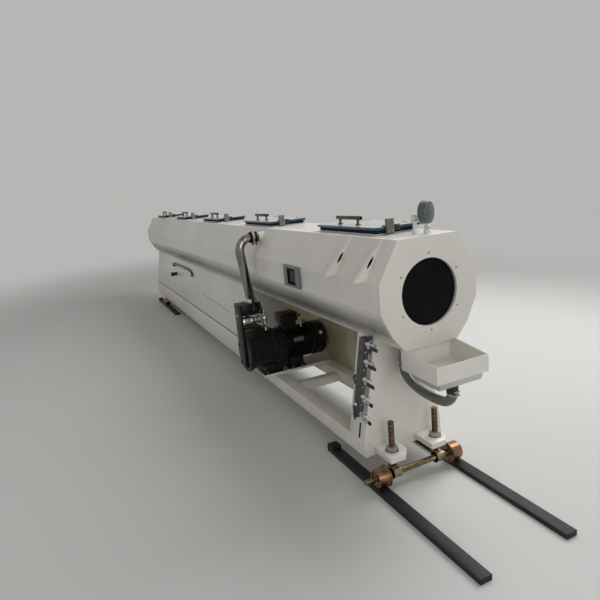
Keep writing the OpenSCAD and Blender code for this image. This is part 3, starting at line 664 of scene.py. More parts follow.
def fin_tree():
    """Cooling fins round the Z axis."""
    tree = Tree("cooling_fins", {"Count": "Int", "Radius": "Float", "Fin size": "Vector"})
    circle = tree.node("GeometryNodeMeshCircle", {
        "Vertices": tree.given["Count"], "Radius": tree.given["Radius"]})
    fin = tree.node("GeometryNodeMeshCube", {"Size": tree.given["Fin size"]})
    return tree.set_out(circle, fin, "X", tree.node("GeometryNodeInputPosition", {}))


def thread_tree():
    """The ridge of a screw thread round the Z axis."""
    tree = Tree("screw_thread", {"Turns": "Float", "Radius": "Float", "Pitch": "Float", "Ridge": "Float"})
    turns, radius = tree.given["Turns"], tree.given["Radius"]
    spiral = tree.node("GeometryNodeCurveSpiral", {
        "Resolution": 20, "Rotations": turns, "Start Radius": radius, "End Radius": radius,
        "Height": tree.times(turns, tree.given["Pitch"])})
    ridge = tree.node("GeometryNodeCurvePrimitiveCircle", {"Resolution": 4, "Radius": tree.given["Ridge"]})
    return tree.swept(spiral, ridge)


def bead_tree():
    """A rippled weld bead along each line."""
    tree = Tree("weld_bead", {"Radius": "Float", "Step": "Float"})
    curve = tree.node("GeometryNodeMeshToCurve", {"Mesh": tree.given["Geometry"]})
    even = tree.node("GeometryNodeResampleCurve", {
        "Curve": curve, "Length": tree.given["Step"]}, mode="LENGTH")
    wobble = tree.node("FunctionNodeRandomValue", {2: 0.75, 3: 1.25, "Seed": 7}, data_type="FLOAT")
    sized = tree.node("GeometryNodeSetCurveRadius", {"Curve": even, "Radius": wobble})
    section = tree.node("GeometryNodeCurvePrimitiveCircle", {"Resolution": 8, "Radius": tree.given["Radius"]})
    return tree.swept(sized, section)


heads = head_tree()
fins = fin_tree()
threads = thread_tree()
beads = bead_tree()


def bolts(piece, points, axis, radius, height, finish=zinc_plate, sides=6, washer=None):
    """Fastener heads at points, facing along an axis."""
    piece.take(heads.grown(points, Radius=radius, Height=height, Washer=washer or 1.25 * radius,
                           Sides=sides, Axis=tuple(axis), Material=finish), finish)


def weld(piece, start, end, parts, radius, finish=None):
    """A weld bead along a line that is cut into parts."""
    points = [start.lerp(end, k / parts) for k in range(parts + 1)]
    edges = [(k, k + 1) for k in range(parts)]
    piece.take(beads.grown(points, edges, Radius=radius, Step=6.0, Material=finish or piece.main), finish)


def turn_to(start, axis):
    """The place that carries the Z axis to an axis through a point."""
    return Matrix.Translation(start) @ axis.to_track_quat("Z", "Y").to_matrix().to_4x4()


def finned(piece, middle, count, radius, size, finish):
    """Fins or blades round a line across the machine."""
    piece.take(fins.grown(place=turn_to(middle, ACROSS), Count=count, Radius=radius,
                          **{"Fin size": size}, Material=finish), finish)


def threaded(piece, start, radius, pitch, length):
    """An upright threaded rod."""
    piece.rod(start, start + UP * length, radius - 0.4 * pitch)
    piece.take(threads.grown(place=turn_to(start, UP), Turns=length / pitch - 1.0, Pitch=pitch,
                             Radius=radius - 0.45 * pitch, Ridge=0.45 * pitch, Material=piece.main))


def nut(piece, start, axis, radius, height, finish=None):
    """A hexagon nut with chamfered corners and a raised washer face."""
    cut = 0.08 * radius
    piece.turned(start, axis, [(radius - cut, 0), (radius, cut), (radius, height - cut),
                               (radius - cut, height)], 6, finish)
    piece.rod(start, start + axis * (height + 0.6), 0.8 * radius, finish=finish)


def curved(points, steps):
    """Points along a smooth curve through the given ones."""
    ends = [2 * points[0] - points[1], *points, 2 * points[-1] - points[-2]]
    path = []
    for before, first, second, after in zip(ends, ends[1:], ends[2:], ends[3:]):
        for k in range(steps):
            t = k / steps
            path.append(0.5 * (2 * first + (second - before) * t
                               + (2 * before - 5 * first + 4 * second - after) * t * t
                               + (3 * first - before - 3 * second + after) * t ** 3))
    return path + [points[-1]]


# Drain hose, first because its route is fixed: millimetres from the near plate, the centre line
# and the tank's foot
HOSE_R = 23
HOSE_ROUTE = [(150, -20, -160), (150, -20, -180), (144, -19, -203), (125, -19, -226), (95, -18, -242),
              (50, -17, -250), (0, -16, -253), (-50, -15, -252), (-100, -13, -246), (-145, -12, -235),
              (-180, -11, -219), (-203, -10, -198), (-213, -10, -174), (-215, -10, -152)]
HOSE_LINE = [at(x, y, TANK_FOOT + z) for x, y, z in HOSE_ROUTE]
HOSE_START, HOSE_END = HOSE_LINE[0], HOSE_LINE[-1]


def make_hose():
    path = curved(HOSE_LINE, 5)
    hose = Piece("drain_hose_tube", hose_skin).tube(path, HOSE_R, 32, uv=True)
    hose = hose.done("carriage", "clear_hose", "drain_hose")
    path = [point * MM for point in path]
    length = sum((second - first).length for first, second in zip(path, path[1:]))


def make_hose_ends():
    """Screw bands, the drain's threaded spigot and the cuff under the hopper."""
    bands = Piece("hose_bands", zinc_plate)
    for middle in (HOSE_START - UP * 10, HOSE_START - UP * 26, HOSE_END - UP * 12):
        bands.turned(middle, UP, [(HOSE_R + 0.4, -5), (HOSE_R + 1.6, -5), (HOSE_R + 1.6, 5),
                                  (HOSE_R + 0.4, 5)], 48)
        side = middle + ALONG * (HOSE_R + 3)
        bands.block(side, (-2, -8, -6), (4, 8, 6))
        bands.turned(side + Vector((1, -15, 0)), ACROSS, [(2, 0), (4.5, 1), (4.5, 30), (2, 31)], 6)
    bands.done("carriage", "passivated_steel")
    foot, height = foot_of("tank_drain")
    drain = Piece("drain_spigot", grey_plastic)
    drain.turned(foot, UP, [(19, 0), (21, 2), (21, 12), (19.5, 14), (19.5, 30), (21, 40), (21, height)])
    drain.turned(foot + UP * 14, UP, [(20, 0), (28, 2), (28, 22), (20, 24)], 8)
    drain.turned(foot + UP * (height - 12), UP, [(21, 0), (27.5, 2), (27.5, 12)], finish=white_enamel)
    drain.done("carriage", "grey_fitting", "tank_drain")
    cuff = Piece("hopper_cuff", black_plastic)
    cuff.turned(HOSE_START, UP, [(HOSE_R + 0.5, -22), (HOSE_R + 3.5, -20), (HOSE_R + 3.5, 12),
                                 (HOSE_R + 0.5, 14)])
    cuff.done("carriage", "grey_fitting")


# Folded and welded sheet: its piece, its CAD nodes, a finish and slot where it isn't white, and the
# radius of its folds
WHITE_SHEETS = (
    ("tank_shell", ["tank_top_plate", "tank_left_wall", "tank_right_wall", "tank_bottom_pan"], 4),
    ("near_end_flange", ["near_end_plate"], 2.2),
    ("far_end_flange", ["far_end_plate"], 2.2),
    ("lifting_plates", ["lifting_gussets"], 1.4),
    ("tray_box", ["drip_tray"], 1.2),
    ("pedestal_sheet", ["near_pedestal"], 2.5),
    ("far_end_sheet", ["far_pedestal"], 2),
    ("beam_tubes", ["frame_beams"], 2.2),
    ("cross_tubes", ["cross_bars"], 5),
    ("box_side_sheets", ["water_box_sides"], 1.6),
    ("foot_slabs", ["foot_plates"], 2),
    ("pump_base_plate", ["pump_base"], 1.4))
OTHER_SHEETS = (
    ("lid_gaskets", "hatch_gaskets", gasket_sponge, "gasket_rubber", 5),
    ("window_surround", "window_frame", frame_grey, "grey_frame", 1.8),
    ("tray_funnel", "tray_hopper", brushed_steel, "stainless", 3),
    ("box_end_sheets", "water_box_ends", shade_darkened_white, "white_paint", 1.4),
    ("bay_back_panel", "bay_panel", panel_tan, "bay_panel", 1.2),
    ("manifold_tube", "manifold_bar", bar_grey, "dark_grey_paint", 2))


def make_sheets():
    for name, nodes, fold in WHITE_SHEETS:
        pressed(name, nodes, white_enamel, fold)
    for name, node, finish, slot, fold in OTHER_SHEETS:
        pressed(name, [node], finish, fold)
    pressed("hatch_collar_bars", ["hatch_collars"], brushed_steel, 0.8, steps=2)
    for name, node in (("floor_rail_bars", "floor_rails"), ("rail_stop_blocks", "rail_stops")):
        pressed(name, [node], rail_black, 1.6, "rails")
    for node, finish in (("seal_sheets", seal_rubber), ("window_glass", dark_glass),
                         ("water_box_floor", shade_darkened_white)):
        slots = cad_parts[node].data.materials
        slots.clear()
        slots.append(finish)


# Lifting plates on the tank's slopes. Half widths: the slopes at their top and foot, and the
# plates' slots and free edges at the slopes' foot
PLATES = [(x, side) for x in (-112, -378) for side in (-1, 1)]
HALF_TOP = 165
HALF_SIDE = 270
HALF_SLOT = 299
HALF_FOOT = 328
SLOPE_DROP = 178
SLOT_SHARE = 0.54


def make_lifting_plates():
    """Weld beads, return flanges on the free edges, and a black lining in the slots as painted shade."""
    welds = Piece("lifting_plate_welds", white_enamel)
    flanges = Piece("lifting_plate_flanges", white_enamel)
    slot_shade_lining = Piece("lifting_slot_shade", seal_rubber)
    crease = span("lifting_gussets")[0].z
    drop = TANK_TOP - crease
    shift = HALF_SLOT - HALF_TOP
    lean = math.atan2(shift, drop)
    for x, side in PLATES:
        for face in (-4.5, 4.5):
            weld(welds, at(x + face, side * (HALF_TOP + 1), TANK_TOP - 2),
                 at(x + face, side * (HALF_SIDE + 1), crease + 2), 8, 2.6)
        top = at(x, side * HALF_TOP, TANK_TOP)
        run = at(x, side * HALF_FOOT, crease) - top
        way = run.normalized()
        out = Vector((0, -way.z, way.y)) * side
        start = top + way * 6
        flanges.prism([start + ALONG * 4.5 + out * 0.6, start - ALONG * 19 + out * 0.6,
                       start - ALONG * 19 - out * 3, start + ALONG * 4.5 - out * 3],
                      way * (run.length - 12), 1)
        middle = at(x, side * (HALF_TOP + SLOT_SHARE * shift), TANK_TOP - SLOT_SHARE * drop)
        down = Vector((0, side * math.sin(lean), -math.cos(lean)))
        over = Vector((0, side * math.cos(lean), math.sin(lean)))
        # Painted shade: a black lining round the inside of each slot stands for the shade in the hole
        spots = [(math.cos(2 * math.pi * k / 28), 1 if k < 14 else -1) for k in range(28)]
        loops = []
        for long, wide, depth in ((32.8, 6.4, 4.8), (32.8, 6.4, -4.8), (29, 3, -4.8), (29, 3, 4.8)):
            loops.append([slot_shade_lining.vert(middle + ALONG * depth + down * long * spot
                                      + over * sign * wide * (1 - spot * spot)) for spot, sign in spots])
        slot_shade_lining.paint(slot_shade_lining.skin(loops, True), None)
    welds.done("carriage", "white_paint")
    flanges.done("carriage", "white_paint")
    slot_shade_lining.done("carriage", "gasket_rubber")


# Lids, with their hinges, handles and clamps
LID_PITCH = 1295
LID_L = 610
LID_W = 270
LID_START = 240
LID_Y = 23
LID_T = 12
LID_FOOT = TANK_TOP + 25.3
LID_CORNER = 16


def lid_outline(centre):
    """The lid's outline with rounded corners."""
    points = []
    for sx, sy, start in ((1, 1, 0), (-1, 1, 90), (-1, -1, 180), (1, -1, 270)):
        corner = centre + Vector((sx * (LID_L / 2 - LID_CORNER), sy * (LID_W / 2 - LID_CORNER), 0))
        for degrees in range(start, start + 91, 15):
            turn = math.radians(degrees)
            points.append(corner + LID_CORNER * Vector((math.cos(turn), math.sin(turn), 0)))
    return points


def make_lid(number):
    body = f"lid_{number}"
    middle = at(-LID_START - LID_L / 2 - (number - 1) * LID_PITCH, LID_Y, LID_FOOT)
    pane = Piece(f"lid_pane_{number}", lid_acrylic)
    pane.prism(lid_outline(middle), UP * LID_T, 3.2)
    pane.done(body, "lid_pane", body)
    fittings = Piece(f"lid_fittings_{number}", handle_bronze)
    handle = middle + Vector((-55, -65, LID_T))
    bore = 7.2
    fittings.turned(handle + Vector((-124, 0, 36)), ALONG, [
        (0, 30), (bore, 30), (bore, 1), (9, 0), (10, 1.5), (10, 246.5), (9, 248), (bore, 247), (bore, 220),
        (0, 220)], 32)
    for side in (-1, 1):
        foot = handle + ALONG * side * 91.8
        fittings.turned(foot, UP, [(15, 0), (15, 3), (9, 5), (7, 9), (7, 29), (8.5, 34)], 28)
        bolts(fittings, [foot + ALONG * 11.5, foot - ALONG * 11.5], UP, 2, 4.2, sides=16)
        hinge = middle + Vector((side * LID_L / 3, LID_W / 2, 0))
        fittings.turned(hinge + Vector((-23, 12, LID_T / 2)), ALONG, [
            (5.05, 0), (8.5, 0), (9, 0.6), (9, 45.4), (8.5, 46), (5.05, 46), (5.05, 0)], 28, brushed_steel)
        leaf = hinge + UP * LID_T
        fittings.block(leaf, (-23, -34, 0), (23, 6, 2.5), 0.6, brushed_steel)
        bolts(fittings, [leaf + Vector((k, -22, 2.5)) for k in (-13, 13)], UP, 3.5, 1.6, sides=16)
    fittings.done(body, "stainless")
    make_clamp(number, middle + Vector((LID_L / 2, -80, 0)))


def make_clamp(number, edge):
    """The clamp that hooks over the lid's near edge, with its screw and black knob."""
    clamp = Piece(f"lid_clamp_{number}", clamp_grey)
    clamp.block(edge, (-3.5, 0, -20), (18, 40, 50), 3)
    clamp.block(edge, (-34, 4, LID_T), (-2, 36, LID_T + 6))
    clamp.block(edge, (-1.5, 39.5, -8), (10, 80, 20), 3, bar_grey)
    clamp.turned(edge + Vector((1.8, 62, 6)), ALONG, [(11.5, 0), (12.5, 2), (12.5, 9.5), (10, 12), (0, 12)],
                 14, black_plastic)
    bolts(clamp, [edge + Vector((17.8, y, z)) for y in (9, 31) for z in (-10, 40)], ALONG, 3.8, 2.6)
    clamp.done(f"lid_{number}", "dark_grey_paint")


# Window, gauge and relief fitting
def make_window():
    """Screws, the seal inside the glass's edge and the lip that covers it."""
    trim = Piece("window_trim", seal_rubber)
    low, high = span("window_frame")
    border = 12
    spots = [Vector((x, low.y + 1, z)) for z in (low.z + border, (low.z + high.z) / 2, high.z - border)
             for x in (low.x + border, high.x - border)]
    bolts(trim, spots, -ACROSS, 4.2, 2.6, sides=16, washer=5.5)
    pane, end = span("window_glass")
    seal = 6
    front, back = pane.y - 3.5, pane.y + 1.5
    for x in (pane.x, end.x - seal):
        trim.box((x, front, pane.z), (x + seal, back, end.z))
    for z in (pane.z, end.z - seal):
        trim.box((pane.x + seal, front, z), (end.x - seal, back, z + seal))
    front, back = low.y - 0.8, low.y + 4
    foot, top = pane.z - 10, end.z + 8
    for x in (pane.x - 3.5, end.x - 1):
        trim.box((x, front, foot), (x + 4.5, back, top), 0.8)
    for first, last in ((foot, pane.z + 1), (end.z - 1, top)):
        trim.box((pane.x, front, first), (end.x, back, last), 0.8)
    trim.done("carriage", "passivated_steel")


def make_gauge():
    """Vacuum gauge: its back is towards the tray, its dial towards the lids."""
    gauge = Piece("vacuum_gauge", gauge_green)
    centre = at(-86, 65, TANK_TOP + 94)
    facing = math.radians(25)
    out = Vector((-math.cos(facing), -math.sin(facing), 0))
    gauge.turned(centre, out, [
        (0, -20), (9, -20), (9.5, -18.5), (32, -18.5), (33.5, -17.5), (48.5, -16), (50.5, -14), (50.5, 12),
        (53, 13), (53, 18.5), (51.5, 20), (48.2, 20), (47.5, 18.5), (47.5, 8), (0, 8)], 72)
    gauge.turned(centre + out * 8.2, out, [(46.5, 0), (46.5, 0.6), (0, 0.6)], 72, dial_white)
    side = out.cross(UP)
    for k in range(21):
        turn = math.radians(-135 + 270 * k / 20)
        way = UP * math.cos(turn) + side * math.sin(turn)
        long, wide = (9, 0.7) if k % 4 == 0 else (5, 0.4)
        half = way.cross(out) * wide
        start = centre + out * 8.8 + way * 40
        gauge.prism([start - half, start + half, start + half - way * long, start - half - way * long],
                    out * 0.3, finish=black_plastic)
    turn = math.radians(-120)
    way = UP * math.cos(turn) + side * math.sin(turn)
    half = way.cross(out) * 1.2
    hub = centre + out * 10
    gauge.prism([hub - half - way * 10, hub + half - way * 10, hub + way * 34], out * 0.5,
                finish=black_plastic)
    gauge.turned(hub, out, [(4, -1), (4, 1), (3, 1.8), (0, 1.8)], 20, nickel_plate)
    gauge.turned(centre - out * 16.8 + UP * 38, -out, [(4, 0), (4, 0.8), (0, 1)], 16, black_plastic)
    base = Vector((centre.x, centre.y, TANK_TOP))
    gauge.rod(base + UP * 18, centre - UP * 45, 7, 24, nickel_plate)
    gauge.turned(base + UP * 20, UP, [(11.5, 0), (12.5, 1), (12.5, 14), (11.5, 15)], 6, nickel_plate)
    gauge.turned(base, UP, [(16, 0), (16, 12), (13, 18), (0, 18)], 32, white_enamel)
    gauge.done("carriage", "gauge_case", "pressure_gauge")


def make_relief():
    """White relief fitting with a ring of black discs as painted shade for its breather holes."""
    relief = Piece("relief_fitting", white_plastic)
    foot = foot_of("relief_valve")[0]
    relief.turned(foot, UP, [(10, 0), (10, 48), (12.5, 52), (16.5, 53), (17, 55), (17, 66), (15.5, 68),
                             (15.5, 72), (17, 74), (17, 83), (14, 87), (0, 87)])
    # Painted shade: black discs on the face stand for the dark breather holes, which are not cut
    for way in circle_of(ORIGIN, UP, ALONG, 10):
        relief.turned(foot + UP * 60 + way * 16.6, way, [(2.6, 0), (2.6, 0.4), (0, 0.4)], 12, black_plastic)
    relief.turned(foot + UP * 2, UP, [(12.5, 0), (14, 1), (14, 13), (12.5, 14)], 6)
    relief.done("carriage", "white_plastic", "relief_valve")


def make_tray_welds():
    """Beads down the tray's two outer corners."""
    seams = Piece("tray_welds", white_enamel)
    low, high = span("drip_tray")
    for y in (low.y + 0.5, high.y - 0.5):
        weld(seams, Vector((high.x - 0.5, y, low.z + 4)), Vector((high.x - 0.5, y, high.z - 29)), 6, 1.4)
    seams.done("carriage", "white_paint")


# Pedestal and water box
def on_taper(x, z, proud):
    """A point on the operator's tapered side, or proud of it."""
    half_top, flare, beam_top = 150, 93, 214
    half = half_top + flare * (TANK_FOOT - z) / (TANK_FOOT - beam_top)
    return at(x, -half - proud, z)


def make_box_details():
    """Black slot lining as painted shade, capped outlet, seam, plug and thin pipe of the operator's side."""
    # Painted shade: a black lining inside the pedestal's slot stands for the shade in it
    slot = Piece("pedestal_slot_shade", black_plastic)
    face_x, low_z, high_z, deep = -316.5, 222.5, 301.5, -28
    outline = [on_taper(face_x, z, proud) for z, proud in (
        (low_z, 0.6), (high_z, 0.6), (high_z, deep), (low_z, deep))]
    slot.prism(outline, ALONG * 13, 1)
    slot.done("carriage", "black_paint")
    outlet = Piece("capped_outlet", black_plastic)
    low, high = span("box_outlet")
    tip = Vector(((low.x + high.x) / 2, low.y, (low.z + high.z) / 2))
    deep = on_taper(0, tip.z, 3).y - tip.y
    outlet.turned(tip, ACROSS, [
        (0, 0), (21, 0), (24.5, 3), (25, 6), (25, 40), (23.5, 43), (20.5, 44), (20.5, deep - 6),
        (24.5, deep - 5), (24.5, deep + 2)])
    outlet.done("carriage", "black_paint", "box_outlet")
    details = Piece("box_side_fittings", frame_grey)
    weld(details, on_taper(-3508, 499, 0.5), on_taper(-2559, 466, 0.5), 30, 2.2)
    details.turned(on_taper(-4950, 655, 0.5), Vector((0, -1, 0.17)), [
        (17, 0), (19, 2), (19, 20), (16, 24), (0, 24)], 24, black_plastic)
    line = [on_taper(x, z, 12.5) for x, z in (
        (-5000, 672), (-4700, 682), (-4400, 686), (-4150, 684), (-4020, 674), (-3960, 655), (-3940, 625))]
    details.tube(curved(line, 5), 12, 20, finish=bar_grey)
    for x in (-4860, -4300):
        details.turned(on_taper(x - 10, 683, 12.5), ALONG, [
            (12.1, 0), (14.5, 0), (14.5, 20), (12.1, 20), (12.1, 0)], 24, zinc_plate)
    details.done("carriage", "passivated_steel")


# Jack screws, bearings and wheelsets
AXLE_Z = 72
NEAR_AXLE = -148
FAR_AXLE = -5588
SCREW_X = -172
SCREW_Y = 136
FAR_POST_Y = 133


def make_running_gear():
    screws = Piece("jack_screw_rods", oiled_thread)
    low, high = span("jack_screws")
    foot_low, foot_top = (corner.z for corner in span("foot_plates"))
    for side in (-1, 1):
        foot = at(SCREW_X, side * SCREW_Y, low.z)
        seat = foot + UP * (foot_top - low.z)
        threaded(screws, foot, 16, 3.6, high.z - low.z)
        for start in (seat, foot + UP * (foot_low - low.z - 26)):
            nut(screws, start, UP, 31, 25.5, zinc_plate)
        screws.turned(seat, UP, [(17, 0), (34, 0), (34, 2.8), (17, 2.8), (17, 0)], finish=zinc_plate)
    screws.done("carriage", "passivated_steel", "jack_screws")
    blocks = Piece("bearing_blocks", pale_passivate)
    beam_foot = span("frame_beams")[0].z
    for x, post_x, spread, top in ((NEAR_AXLE, SCREW_X, SCREW_Y, low.z),
                                   (FAR_AXLE, FAR_AXLE, FAR_POST_Y, beam_foot)):
        for side in (-1, 1):
            centre = at(x, side * spread, AXLE_Z)
            blocks.turned(centre - ACROSS * 25, ACROSS, [
                (16.1, 0), (22.5, 0), (24.5, 2), (26, 4), (26, 46), (24.5, 48), (22.5, 50), (16.1, 50),
                (16.1, 0)], 48)
            post = at(post_x, side * spread, AXLE_Z)
            blocks.box(post + Vector((-19, -19, -9.5)), (max(post.x + 19, centre.x), post.y + 19, top), 3)
            blocks.turned(centre - ACROSS * 31, ACROSS, [
                (16.1, 0), (26.5, 0), (28.5, 1.2), (28.5, 4.5), (26.5, 5.8), (16.1, 5.8), (16.1, 0)],
                          finish=seal_rubber)
            bolts(blocks, [centre + Vector((25.5, k, 0)) for k in (-14, 14)], ALONG, 3.6, 3)
    blocks.done("carriage", "passivated_steel", "axle_bearings")
    make_wheelset("near", NEAR_AXLE, 62)
    make_wheelset("far", FAR_AXLE, 14)


def make_wheelset(end, x, stub):
    """Axle, whose left end stands out by its stub, with two flanged wheels, collars and end caps."""
    gear = Piece(f"{end}_wheels", olive_steel)
    inner, flange, outer = 189, 200, 258
    centre = at(x, 0, AXLE_Z)
    half = stub + outer
    total = half + outer + 14
    gear.turned(centre - ACROSS * half, ACROSS, [
        (0, 0), (11.5, 0), (13, 1.5), (13, stub - 4), (16, stub - 2), (16, half - 75), (14.8, half - 73),
        (14.8, half + 100), (16, half + 102), (16, total - 3), (14, total), (0, total)])
    tread, step = outer - inner, flange - inner
    for side in (-1, 1):
        hub = centre + ACROSS * side * inner
        gear.turned(hub, ACROSS * side, [
            (16.1, 4), (30, 0), (34, 2), (50, 2), (53.5, 4), (54, 6), (53, step - 1), (47.5, step + 1),
            (46.6, step + 4), (46.8, tread - 4), (45, tread), (36, tread), (34, tread - 6),
            (16.1, tread - 6)], 64, copper_passivate)
        spots = circle_of(hub + ACROSS * side * (tread - 6), ACROSS, UP * 26, 6)
        bolts(gear, spots, ACROSS * side, 3.5, 3.5)
    gear.done(f"{end}_wheels", "passivated_steel", f"{end}_wheelset")


# Pump set
PUMP_X = -1530
PUMP_Z = 405
HOUSING_TOP = 589.3
HEADER_LOW = 673.7
COWL_START = 98


def make_motor():
    motor = Piece("motor_body", black_enamel)
    low, high = span("pump_motor")
    start = low.y - MID_Y
    plate = low.z + 16
    axis = at(PUMP_X, start, PUMP_Z)
    drum = COWL_START - start
    motor.turned(axis, ACROSS, [
        (40, 0), (113, 0), (117, 4), (117, 20), (114, 23), (103, 26), (103, drum - 30), (112, drum - 27),
        (113, drum - 2), (60, drum - 2)], 72)
    finned(motor, axis + ACROSS * (drum / 2), 46, 109.5, (15, 2.8, drum - 62), black_enamel)
    bolts(motor, circle_of(axis + ACROSS * 10, ACROSS, UP * 115.5, 4, 45), -ACROSS, 6, 9)
    toe = at(PUMP_X - 90, start + 32, low.z)
    motor.box(toe, at(PUMP_X + 80, 12, plate), 3)
    motor.box(toe + Vector((14, 8, 12)), at(PUMP_X + 66, 4, PUMP_Z - 75), 6)
    bolts(motor, [at(PUMP_X + x, y, plate) for x in (-82, 72) for y in (start + 60, -20)], UP, 6.8, 7)
    eye = at(PUMP_X, 62, PUMP_Z + 112)
    motor.turned(eye, UP, [(12, 0), (13, 4), (8, 10)], 24)
    motor.turned(at(PUMP_X + 30, 20, PUMP_Z + 104), UP, [
        (11, 0), (11, 12), (8, 14), (8, 28), (10, 30), (10, 40), (0, 42)], 6, nickel_plate)
    motor.ring(eye + UP * 22, ALONG, 12, 4.2, 36, 12)
    motor.block(at(PUMP_X + 108.5, -80, PUMP_Z + 32), (0, 0, 0), (9.5, 75, 30), 0.8, clamp_grey)
    motor.done("carriage", "black_paint", "pump_motor")
    make_cowl(at(PUMP_X, COWL_START, PUMP_Z), high.y - MID_Y - COWL_START)


def make_cowl(start, length):
    """Fan cowl with a rounded rim and a grille of rings and spokes."""
    cowl = Piece("fan_cowl", black_enamel)
    cowl.turned(start, ACROSS, [
        (121.5, 0), (125, 0), (125, length - 20), (122.5, length - 12), (115, length - 3), (108, length - 1),
        (104, length - 1), (104, length - 4), (112, length - 8), (121.5, length - 22), (121.5, 0)], 80)
    face = start + ACROSS * (length - 3)
    for radius in (28, 40, 52, 64, 76, 88, 98):
        cowl.ring(face, ACROSS, radius, 1.7, 64, 6)
    for way in circle_of(ORIGIN, ACROSS, UP, 8):
        cowl.rod(face + way * 18, face + way * 107, 1.8, 8)
    cowl.turned(face - ACROSS * 2, ACROSS, [(0, 0), (20, 0), (20, 3), (17, 4.5), (0, 4.5)], 36)
    back = start + ACROSS * 12
    cowl.turned(back, ACROSS, [(0, 0), (100, 0), (100, 3), (30, 12), (0, 12)], finish=black_plastic)
    finned(cowl, back + ACROSS * 26, 9, 66, (60, 3, 28), black_plastic)
    mark = Matrix.Rotation(math.radians(62), 3, ACROSS) @ UP
    cowl.turned(start + ACROSS * 40 + mark * 123.8, mark, [(13, 0), (13, 1), (12.5, 1.2), (0, 1.2)],
                28, white_plastic)
    cowl.done("carriage", "black_paint")


def make_terminal_box():
    box = Piece("terminal_housing", black_enamel)
    low, high = span("terminal_box")
    box.box((low.x + 12, low.y + 12, PUMP_Z + 102), (high.x - 12, high.y - 12, high.z - 60), 3)
    box.box((low.x, low.y, high.z - 66), (high.x, high.y, high.z - 16), 6)
    box.box((low.x - 0.5, low.y - 0.5, high.z - 14.5), (high.x + 0.5, high.y + 0.5, high.z), 5)
    inset = 11
    spots = [Vector((x, y, high.z - 0.5)) for x in (low.x + inset, high.x - inset)
             for y in (low.y + inset, high.y - inset)]
    bolts(box, spots, UP, 4.2, 3, sides=16)
    for share, metal in ((0.72, nickel_plate), (0.36, black_plastic)):
        gland = Vector((low.x + (high.x - low.x) * share, high.y - 1, high.z - 36))
        box.turned(gland, ACROSS, [(14, 0), (15, 2), (15, 11), (12, 12)], 6, metal)
        box.turned(gland, ACROSS, [(12, 11), (12, 26), (9, 31), (5, 32), (5, 18)], 24, black_plastic)
    box.done("carriage", "black_paint", "terminal_box")


def make_pump_head():
    """Water-ring pump: flanged end plates round a drum, port housing, bracket plate and header block."""
    pump = Piece("pump_casing", black_enamel)
    low, high = span("pump_head")
    back = low.y + 20
    axis = Vector((NEAR_X + PUMP_X, back, PUMP_Z))
    pump.turned(axis, ACROSS, [
        (50, 0), (135, 0), (140, 5), (140, 26), (137, 29), (130, 31), (129, 85), (134, 88), (134, 100),
        (129, 103), (129, 180), (137, 183), (140, 187), (140, 214), (136, 218), (128, 220), (128, 262),
        (136, 264), (136, 271.5), (60, 271.5)], 80)
    for y, way in ((29, ACROSS), (183, -ACROSS)):
        bolts(pump, circle_of(axis + ACROSS * y, ACROSS, UP * 134.5, 12, 15), way, 5, 7, black_enamel)
    near, far = axis.x + 50, axis.x - 70
    plate = low.y + 5
    for first, last, soft in (
            ((axis.x - 84, back - 0.5, PUMP_Z), (axis.x + 76, back + 130, HOUSING_TOP), 10),
            ((axis.x - 88, back, HOUSING_TOP - 30), (axis.x + 80, back + 134, HOUSING_TOP - 12), 4),
            ((far, plate, PUMP_Z - 100), (near, back + 0.5, high.z), 4),
            ((far + 1, back - 1, HEADER_LOW), (near - 1, back + 130, high.z - 0.5), 8),
            ((far + 10, back, HEADER_LOW + 12), (near + 6, back + 122, high.z - 12), 4),
            ((axis.x - 83, back + 112, low.z), (axis.x + 83, back + 270, low.z + 16), 3),
            # Painted shade: a solid black block between the real feet fills the gaps where shade falls
            ((axis.x - 71, back + 122, low.z + 12), (axis.x + 71, back + 262, PUMP_Z - 80), 6)):
        pump.box(first, last, soft)
    spots = [Vector((x, plate + 0.5, z)) for x in (far + 22, near - 22) for z in (330, 450, 575, 730)]
    bolts(pump, spots, -ACROSS, 6.5, 4.5, black_enamel)
    bolts(pump, [Vector((axis.x - 12, plate + 0.5, 672))], -ACROSS, 9.5, 5, nickel_plate)
    for y, foot, top, half in ((88, 715, 806, 13), (134, 692, 766, 12)):
        hub = Vector((near + 4, back + y, foot))
        pump.turned(hub, ALONG, [(15, 0), (16, 2), (16, 10), (13, 12), (0, 12)], 24, black_plastic)
        tip = Vector((hub.x + 2, hub.y - 6, top))
        pump.prism([hub + Vector((2, -half, 0)), hub + Vector((2, half, 0)), tip + ACROSS * 6,
                    tip - ACROSS * 6], ALONG * 8, 3, black_plastic)
    spots = [Vector((axis.x + x, back + y, low.z + 16)) for x in (-76.5, 76.5) for y in (128, 254)]
    bolts(pump, spots, UP, 5.5, 7)
    pump.done("carriage", "black_paint", "pump_head")


